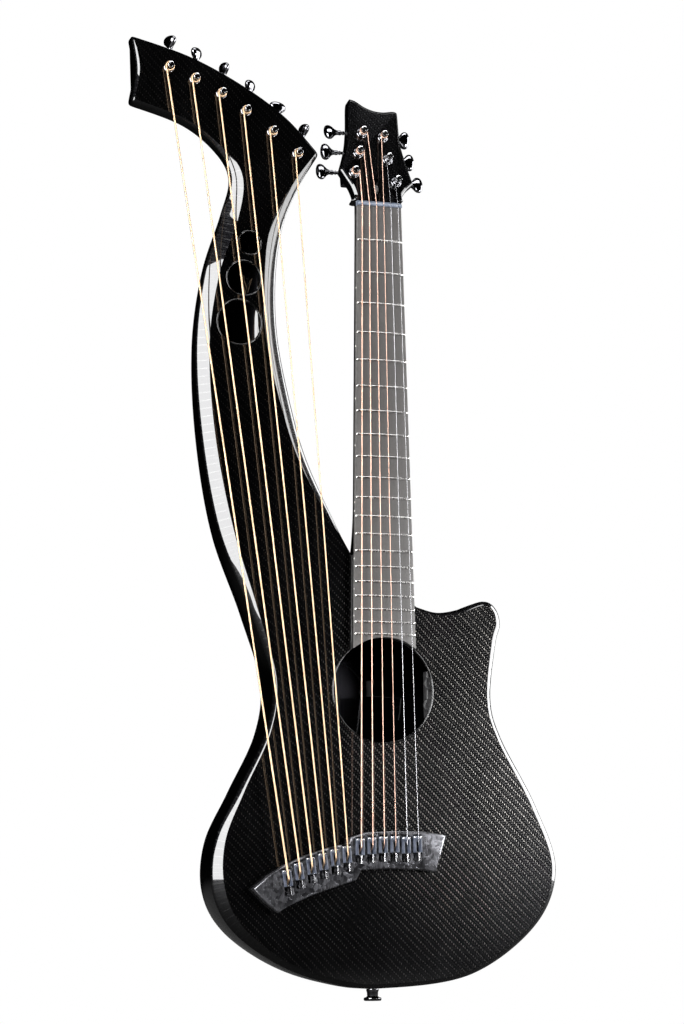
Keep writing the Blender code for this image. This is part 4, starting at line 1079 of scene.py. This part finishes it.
def coilPath(course):      # turns of string round the post, and its cut end in the post's cross hole
    radius = (stringSet["postRadius"] + 0.12 + course["radius"]) * mm
    pitch = 2.05 * course["radius"] * mm
    axis = course["postAxis"]
    side = course["away"]
    lift = axis.cross(side)
    arrival = course["bends"][-1] - course["bends"][-2] if len(course["bends"]) > 1 else course["run"]
    sense = 1.0 if arrival.dot(lift) > 0 else -1.0
    turns = 3.0 if course["radius"] < 0.6 else 2.25
    points = []
    steps = int(turns * 16)
    start = course["post"]
    for k in range(steps + 1):
        angle = 2 * pi * turns * k / steps
        points.append(start + axis * pitch * turns * k / steps + side * radius * cos(angle)
                      + lift * sense * radius * sin(angle))
    last = start + axis * pitch * turns
    outward = (points[-1] - last).normalized()
    tangent = axis.cross(outward) * sense
    points.append(last + outward * radius * 0.72 + tangent * 1.6 * mm - axis * 0.4 * mm)
    return points


def makeSaddle(course):
    crestDepth = (course["crest"].y - faceY) / mm + course["radius"] + 0.3
    topDepth = crestDepth + 1.2
    half = bridgeSizes["saddleWidth"] / 2
    slot = bridgeSizes["slot"] / 2
    front, back, start = bridgeSizes["front"], bridgeSizes["back"], bridgeSizes["slotStart"]
    ring = [(-half, front), (-half, -back), (-slot, -back), (-slot, -start), (slot, -start), (slot, -back),
            (half, -back), (half, front)]
    block = loftRings("saddle", [[Vector((x, y, z)) * mm for x, z in ring]
                                 for y in (topDepth, bridgeSizes["pocketFloor"] - 0.3)])
    bevelWhere(block, lambda co: abs(co.y - topDepth * mm) < 1e-7, 0.35, 2)
    ridge = softBox("ridge", (-half + 0.3, crestDepth, -0.9), (half - 0.3, topDepth + 0.6, 0.9), 0.42, 3)
    notch = turnedPiece("notch", [(-4, course["radius"] + 0.32), (4, course["radius"] + 0.32)], 14)
    notch.data.transform(Matrix.Translation((0, (crestDepth - 0.55) * mm, 0)))
    useTool(ridge, notch)
    piece = joinPieces(f"saddle_{course['name']}_block", [block, ridge])
    return piece, topDepth


def makeGrub():      # grub screw: a raised rim round its socket
    return turnedPiece("grub", [(-1.2, 1.1), (0.05, 1.15), (0.22, 1.0), (0.32, 0.75), (0.28, 0.52), (-0.75, 0.5),
                                (-0.8, 0.05)], 18)


def makeLongScrew():      # threaded screw that moves a saddle along, ridges all the way
    profile = [(-8.6, 0.1), (-8.6, 0.95), (-8.3, 1.15)]
    z = -8.2
    while z < 8.0:
        profile += [(z, 0.82), (z + 0.22, 1.15), (z + 0.42, 1.15)]
        z += 0.64
    profile += [(8.1, 0.8), (8.3, 0.1)]
    return turnedPiece("longScrew", profile, 14)


grubModel = makeGrub()
screwModel = makeLongScrew()
pocketTools = []
for course in courses:
    frameAt = basis(Vector((course["crest"].x, faceY, course["crest"].z)), (0, 1, 0), course["flat"])
    piece, topDepth = makeSaddle(course)
    piece.data.transform(frameAt)
    body = f"saddle_{course['name']}"
    finishPiece(piece, saddleComposite, body, [body], 30)
    grubs = []
    for x in (-bridgeSizes["grubSide"], bridgeSizes["grubSide"]):
        grub = copyOf(grubModel, "grub")
        grub.data.transform(frameAt @ Matrix.Translation((x * mm, (topDepth - 0.02) * mm, 1.6 * mm))
                            @ Matrix.Rotation(pi / 2, 4, "X"))
        grubs.append(grub)
    finishPiece(joinPieces(body + "_grubs", grubs), brightChrome, body, (), 30)
    lengthScrew = copyOf(screwModel, f"{body}_screw")
    level = bridgeSizes["pocketFloor"] - bridgeSizes["screwLevel"]
    lengthScrew.data.transform(frameAt @ Matrix.Translation(
        (bridgeSizes["grubSide"] * mm, level * mm, bridgeSizes["screwPlace"] * mm)))
    finishPiece(lengthScrew, brightChrome, "body", (), 35)
    half = bridgeSizes["saddleWidth"] / 2 + 0.4
    reach = bridgeSizes["front"] + bridgeSizes["travel"] + 0.2
    cutter = softBox("pocket", (-half, -18.0, -bridgeSizes["pocketBack"]),
                     (half, bridgeSizes["pocketFloor"], reach), 0.5, 2)
    cutter.data.transform(frameAt)
    pocketTools.append(cutter)
for spare in (grubModel, screwModel):
    bpy.data.objects.remove(spare, do_unlink=True)


def makeBridge():
    points = [Vector(p) for p in bridgeOutline]
    face = bridgeSizes["top"]
    layers = [(1.7, face), (1.0, face + 0.12), (0.45, face + 0.55), (0.12, face + 1.2), (0.0, face + 2.0),
              (0.0, -0.9), (0.25, -0.1)]
    piece = loftRings("bridge", [[at(p.x, depth, p.y) for p in insetLoop(points, distance, 0.5)]
                                 for distance, depth in layers])
    for cutter in pocketTools:
        useTool(piece, cutter)
    return piece


finishPiece(makeBridge(), forgedCarbon, "body", ["bridge"], 30)
print("bridge with", len(courses), "saddles, their height screws and length screws")


# Tuning machines: post, washer, nut and string turns in front, sealed gear case behind, button outside

tuner = {"armBack": 19.0, "headBack": 14.0, "wormSide": 7.3, "gearDepth": 3.5,
         "caseDepth": 10.0, "armReach": 34.5, "headReach": 29.0,
         "turns": [112, 50, 98, 52, 10, 100, 8, 0, 18, 20, 5, 172]}      # degrees, how each button stands at rest


def layDown(piece):      # heights along Z become heights in front of the head's face
    piece.data.transform(Matrix.Rotation(pi / 2, 4, "X"))
    return piece


def postModel(back):
    gear = tuner["gearDepth"] + back
    return layDown(turnedPiece("post", [
        (-gear - 1.3, 1.0), (-gear - 1.3, 5.3), (-gear + 1.3, 5.3), (-gear + 1.3, 3.0), (2.6, 3.0), (3.0, 2.95),
        (8.1, 2.95), (8.5, 3.2), (8.75, 3.4), (9.9, 3.4), (10.25, 3.25), (10.45, 2.85), (10.45, 2.3), (10.0, 2.0),
        (10.0, 0.4)], 32))


def collarModel():      # dished washer and the six-sided nut standing in it
    washer = turnedPiece("washer", [(-0.2, 3.25), (-0.2, 5.2), (0.15, 5.45), (0.5, 5.4), (0.8, 5.1), (0.9, 4.8),
                                    (0.7, 4.5), (0.7, 3.25)], 40)
    nut = loftRings("nutRing", [circlePoints(r * mm, z * mm, 6) for z, r in
                                [(0.5, 4.5), (2.0, 4.5), (2.4, 4.1), (2.5, 3.7)]])
    barrel = turnedPiece("barrel", [(2.2, 3.1), (2.2, 3.65), (2.9, 3.65), (3.1, 3.45), (3.1, 3.1)], 32)
    return layDown(joinPieces("collar", [washer, nut, barrel]))


def caseModel(name, side, back):
    low, high = sorted((-6.5 * side, 11.5 * side))
    case = softBox(name, (low, back - 0.2, -8.0), (high, back + tuner["caseDepth"], 8.0), 1.6, 4)
    bore = turnedPiece("bore", [(-6.6, 1.9), (12, 1.9)], 24)
    bore.data.transform(Matrix.Translation((side * tuner["wormSide"] * mm, (back + tuner["gearDepth"]) * mm, 0)))
    room = layDown(turnedPiece("room", [(-back - 5.6, 5.8), (-back + 2, 5.8)], 32))
    useTool(case, bore)
    useTool(case, room)
    return case


def screwModelOf(reach):      # countersunk cross-head screw in the corner of a gear case
    head = turnedPiece("screwHead", [(-0.4, 1.5), (0.05, 1.5), (0.35, 1.15), (0.45, 0.5)], 20)
    for turn in (0, pi / 2):
        slot = softBox("cross", (-0.95, -0.16, 0.12), (0.95, 0.16, 1.0), 0.03, 1)
        slot.data.transform(Matrix.Rotation(turn, 4, "Z"))
        useTool(head, slot)
    head.data.transform(Matrix.Translation((0, reach * mm, 0)) @ Matrix.Rotation(-pi / 2, 4, "X"))
    return head


def buttonModel(name, reach):
    rows = [(-6.2, 1.5, 1.5), (8.4, 1.5, 1.5), (reach - 15.4, 1.6, 1.6), (reach - 15.0, 2.2, 2.2),
            (reach - 14.2, 2.2, 2.2), (reach - 13.8, 1.7, 1.7), (reach - 12.4, 1.7, 1.7), (reach - 12.0, 2.5, 2.4),
            (reach - 10.6, 2.7, 2.5), (reach - 9.4, 2.4, 2.3), (reach - 7.4, 2.6, 2.4), (reach - 5.4, 3.7, 2.9),
            (reach - 3.6, 5.8, 3.5), (reach - 2.0, 7.8, 4.0), (reach - 0.4, 8.9, 4.3), (reach + 1.2, 9.2, 4.4),
            (reach + 2.7, 9.0, 4.3), (reach + 4.1, 8.1, 3.9), (reach + 5.1, 6.7, 3.3), (reach + 5.8, 4.7, 2.5),
            (reach + 6.15, 2.5, 1.4), (reach + 6.25, 0.7, 0.4)]
    return loftRings(name, [circlePoints(thin * mm, z * mm, 28, wide * mm) for z, wide, thin in rows])


postModels = {False: postModel(tuner["armBack"]), True: postModel(tuner["headBack"])}
buttonModels = {False: buttonModel("armButton", tuner["armReach"]),
                True: buttonModel("headButton", tuner["headReach"])}
caseModels = {(False, 1): caseModel("armCase", 1, tuner["armBack"]),
              (True, 1): caseModel("leftCase", 1, tuner["headBack"]),
              (True, -1): caseModel("rightCase", -1, tuner["headBack"])}
collar = collarModel()
backScrews = {False: screwModelOf(tuner["armBack"] + tuner["caseDepth"]),
              True: screwModelOf(tuner["headBack"] + tuner["caseDepth"])}
for course, degrees in zip(courses, tuner["turns"]):
    name = course["name"]
    onHead = "guitar" in name
    side = -1 if name in ("guitar_3", "guitar_2", "guitar_1") else 1
    centre, postAxis = postSpot(name)
    turnJoint = jointOf[f"turn_button_{name}"]
    place = basis(centre, postAxis, turnJoint["axis"])

    post = copyOf(postModels[onHead], f"post_{name}_turned")
    post.data.transform(place)
    finishPiece(post, brightChrome, f"post_{name}", [f"post_{name}"], 40)

    coil = tubeAlong(f"post_{name}_turns", coilPath(course), course["radius"] * mm, 8)
    finishPiece(coil, course["material"], f"post_{name}", (), 50)

    ring = copyOf(collar, f"collar_{name}")
    ring.data.transform(place)
    finishPiece(ring, blackChrome, "body", (), 35)

    case = copyOf(caseModels[(onHead, side)], f"case_{name}")
    case.data.transform(place)
    finishPiece(case, blackChrome, "body", (), 40)

    screws = []
    for x, z in ((-4.2 * side, -5.4), (9.3 * side, 5.4)):
        screw = copyOf(backScrews[onHead], "screw")
        screw.data.transform(place @ Matrix.Translation((x * mm, 0, z * mm)))
        screws.append(screw)
    finishPiece(joinPieces(f"case_{name}_screws", screws), screwSteel, "body", (), 35)

    button = copyOf(buttonModels[onHead], f"button_{name}_oval")
    button.data.transform(basis(Vector(turnJoint["pos_m"]), postAxis, turnJoint["axis"])
                          @ Matrix.Rotation(radians(degrees), 4, "Z"))
    finishPiece(button, blackChrome, f"button_{name}", [f"button_{name}"], 50)

for carrier, angle in ((top, 10), (bodyShell, 32)):      # bores for the bass posts
    tools = []
    for course in courses[:6]:
        centre, postAxis = postSpot(course["name"])
        tool = layDown(turnedPiece("postBore", [(-24, 3.35), (3, 3.35)], 24))
        tool.data.transform(basis(centre, postAxis, jointOf[f"turn_button_{course['name']}"]["axis"]))
        tools.append(tool)
    useTool(carrier, joinPieces("postBores", tools))
    pick(carrier)
    bpy.ops.object.shade_smooth_by_angle(angle=radians(angle))
models = [postModels, buttonModels, caseModels, backScrews, {"collar": collar}]
for spare in [model for group in models for model in group.values()]:
    bpy.data.objects.remove(spare, do_unlink=True)
print("tuning machines:", len(courses))


# Pickup controls under the rim of the sound hole

controls = {"low": (49.4, 7.8, 121.5), "high": (78.1, 18.8, 169.5), "foot": 6.0, "footTop": 3.3,
            "radius": 7.0, "thick": 3.0, "teeth": 36}


def knurledWheel(name):      # rim of fine ridges and a dished face
    spokes = unitCircle(controls["teeth"] * 2)

    def toothed(radius, z, depth):
        reaches = [radius - depth * (k % 2) for k in range(len(spokes))]
        return [Vector((reach * u, reach * v, z)) * mm for reach, (u, v) in zip(reaches, spokes)]

    half = controls["thick"] / 2
    radius = controls["radius"]
    wheel = loftRings(name, [toothed(1.8, half, 0), toothed(5.6, half, 0), toothed(5.9, half, 0),
                             toothed(radius - 0.4, half, 0.1), toothed(radius, half - 0.4, 0.35),
                             toothed(radius, 0.4 - half, 0.35), toothed(radius - 0.4, -half, 0.1),
                             toothed(1.8, -half, 0)])
    useTool(wheel, turnedPiece("dish", [(half - 0.35, 5.0), (half + 1, 5.6)], 36))
    useTool(wheel, turnedPiece("bore", [(-half - 1, 1.7), (half + 1, 1.7)], 24))
    return wheel


def wheelPlace(name):
    return basis(Vector(jointOf[f"turn_{name}"]["pos_m"]), (1, 0, 0), (0, -1, 0))


for name in ("volume_wheel", "tone_wheel"):
    wheel = knurledWheel(name + "_rim")
    wheel.data.transform(wheelPlace(name))
    finishPiece(wheel, blackPlastic, name, [name], 30)

low, high = controls["low"], controls["high"]
parts = [softBox("case", low, high, 1.2, 3),
         softBox("foot", (high[0] - controls["foot"], controls["footTop"], low[2]),
                 (high[0], low[1] + 1.5, high[2]), 0.4, 2),
         softBox("lid", (low[0] + 1.5, high[1] - 0.5, low[2] + 1.5),
                 (high[0] - 1.5, high[1] + 0.6, high[2] - 1.5), 0.4, 2)]
for part in parts:
    part.data.transform(Matrix.Translation(at(0, 0, 0)))
for name in ("volume_wheel", "tone_wheel"):
    axle = turnedPiece("axle", [(-3.5, 1.4), (1.0, 1.4), (1.25, 1.1)], 24)
    axle.data.transform(wheelPlace(name))
    parts.append(axle)
housing = joinPieces("preamp_case", parts)
settleNormals(housing)
finishPiece(housing, blackPlastic, "body", ["preamp_housing"], 30)
print("pickup housing and wheels")


# End pin with its jack hole, and the strap button by the heel of the back

pinSizes = {"depth": 46.0, "strapSpot": (30.0, 81.6, 190.0), "lean": atan2(13.8, 360.0)}
pin = turnedPiece("end_pin_turned", [
    (-128.6, 2.5), (-129.0, 4.0), (-148.2, 4.0), (-148.2, 6.3), (-149.4, 6.4), (-151.5, 5.7), (-155.2, 5.5),
    (-156.2, 6.4), (-156.7, 8.3), (-157.2, 8.9), (-158.6, 9.0), (-159.5, 8.7), (-159.95, 7.9), (-159.95, 4.2),
    (-159.6, 3.5), (-150.0, 3.2), (-150.0, 0.4)], 48)
pin.data.transform(Matrix.Translation(at(0, pinSizes["depth"], 0)))
settleNormals(pin)
finishPiece(pin, blackChrome, "body", ["end_pin"], 35)

strap = turnedPiece("strap_button_turned", [
    (0.2, 2.0), (0.3, 6.5), (1.2, 6.4), (3.0, 5.5), (6.0, 5.4), (7.2, 6.4), (7.9, 8.2), (8.4, 8.9), (10.0, 9.0),
    (10.7, 8.5), (11.0, 7.6), (11.0, 3.4), (10.2, 2.6), (10.2, 0.4)], 40)
strap.data.transform(Matrix.Translation(at(*pinSizes["strapSpot"])) @ Matrix.Rotation(pinSizes["lean"], 4, "X")
                     @ Matrix.Rotation(-pi / 2, 4, "X"))
settleNormals(strap)
finishPiece(strap, blackChrome, "body", ["strap_button"], 35)
print("end pin and strap button")


# Floor, studio light and camera

studio = {"floorSize": 14.0, "white": 1.0, "dark": 0.012, "side": 0.9,
          "aim": (-0.0414, -0.046, 0.4885), "distance": 2.7, "lens": 93.8}


def splitByRay(tree, lit, seen, target):      # the camera sees one shader, every other ray meets the other
    path = tree.nodes.new("ShaderNodeLightPath")
    blend = tree.nodes.new("ShaderNodeMixShader")
    tree.links.new(path.outputs["Is Camera Ray"], blend.inputs[0])
    tree.links.new(lit.outputs[0], blend.inputs[1])
    tree.links.new(seen.outputs[0], blend.inputs[2])
    tree.links.new(blend.outputs[0], tree.nodes[target].inputs["Surface"])


deselectAll()
bpy.ops.mesh.primitive_plane_add(size=studio["floorSize"], location=(0, 0, 0))
floor = nameIt(bpy.context.object, "floor")
paper = bpy.data.materials.new("paper")
paper.use_nodes = True
tree = paper.node_tree
matte = tree.nodes["Principled BSDF"]
matte.inputs["Base Color"].default_value = (0.03, 0.03, 0.03, 1)
matte.inputs["Roughness"].default_value = 0.9
glow = tree.nodes.new("ShaderNodeEmission")
glow.inputs["Color"].default_value = (1, 1, 1, 1)
splitByRay(tree, matte, glow, "Material Output")
floor.data.materials.append(paper)

world = bpy.data.worlds.new("studio")
bpy.context.scene.world = world
world.use_nodes = True
tree = world.node_tree
sky = tree.nodes["Background"]
white = tree.nodes.new("ShaderNodeBackground")
white.inputs["Color"].default_value = (1, 1, 1, 1)
white.inputs["Strength"].default_value = studio["white"]
toward = axesOf(tree, tree.nodes.new("ShaderNodeTexCoord").outputs["Generated"])
fromSide = spread(tree, toward["X"], 0.62, 0.95, studio["dark"], studio["side"])
tree.links.new(fromSide, sky.inputs["Strength"])
splitByRay(tree, sky, white, "World Output")

lamps = [      # name, target, direction from the target, distance, width, height, watts
    ("bevelSoftbox", (-0.15, -0.046, 0.42), (-0.72, -0.66, 0.12), 1.5, 1.0, 1.9, 100.0),
    ("weaveLight", (0.10, -0.046, 0.26), (0.62, -0.78, 0.02), 0.85, 0.24, 0.36, 9.0),
    ("rimSoftbox", (0.0, -0.046, 0.45), (0.98, -0.06, 0.10), 1.5, 1.4, 1.8, 75.0),
    ("topSoftbox", (0.0, -0.046, 0.6), (0.05, -0.40, 1.0), 1.5, 1.2, 0.5, 18.0),
]
aim = Vector(studio["aim"])
for name, target, direction, distance, width, height, watts in lamps:
    deselectAll()
    bpy.ops.object.light_add(type="AREA", location=Vector(target) + Vector(direction).normalized() * distance)
    lamp = bpy.context.object
    lamp.name = name
    lamp.data.shape = "RECTANGLE"
    lamp.data.size = width
    lamp.data.size_y = height
    lamp.data.energy = watts
    lamp.rotation_euler = Vector(direction).to_track_quat("Z", "Y").to_euler()
    lamp.visible_camera = False

right = Vector((0.95168, -0.30690, -0.01116))
up = Vector((-0.03710, -0.15095, 0.98784))
forward = Vector((0.30485, 0.93970, 0.15504))
bpy.ops.object.camera_add(location=aim - forward * studio["distance"])
camera = bpy.context.object
camera.name = "camera"
camera.data.sensor_fit = "VERTICAL"
camera.data.sensor_height = 36.0
camera.data.lens = studio["lens"]
camera.rotation_euler = Matrix((right, up, -forward)).transposed().to_euler()
bpy.context.scene.camera = camera
bpy.context.scene.view_settings.view_transform = "Standard"

print("stage, lights and camera are set")
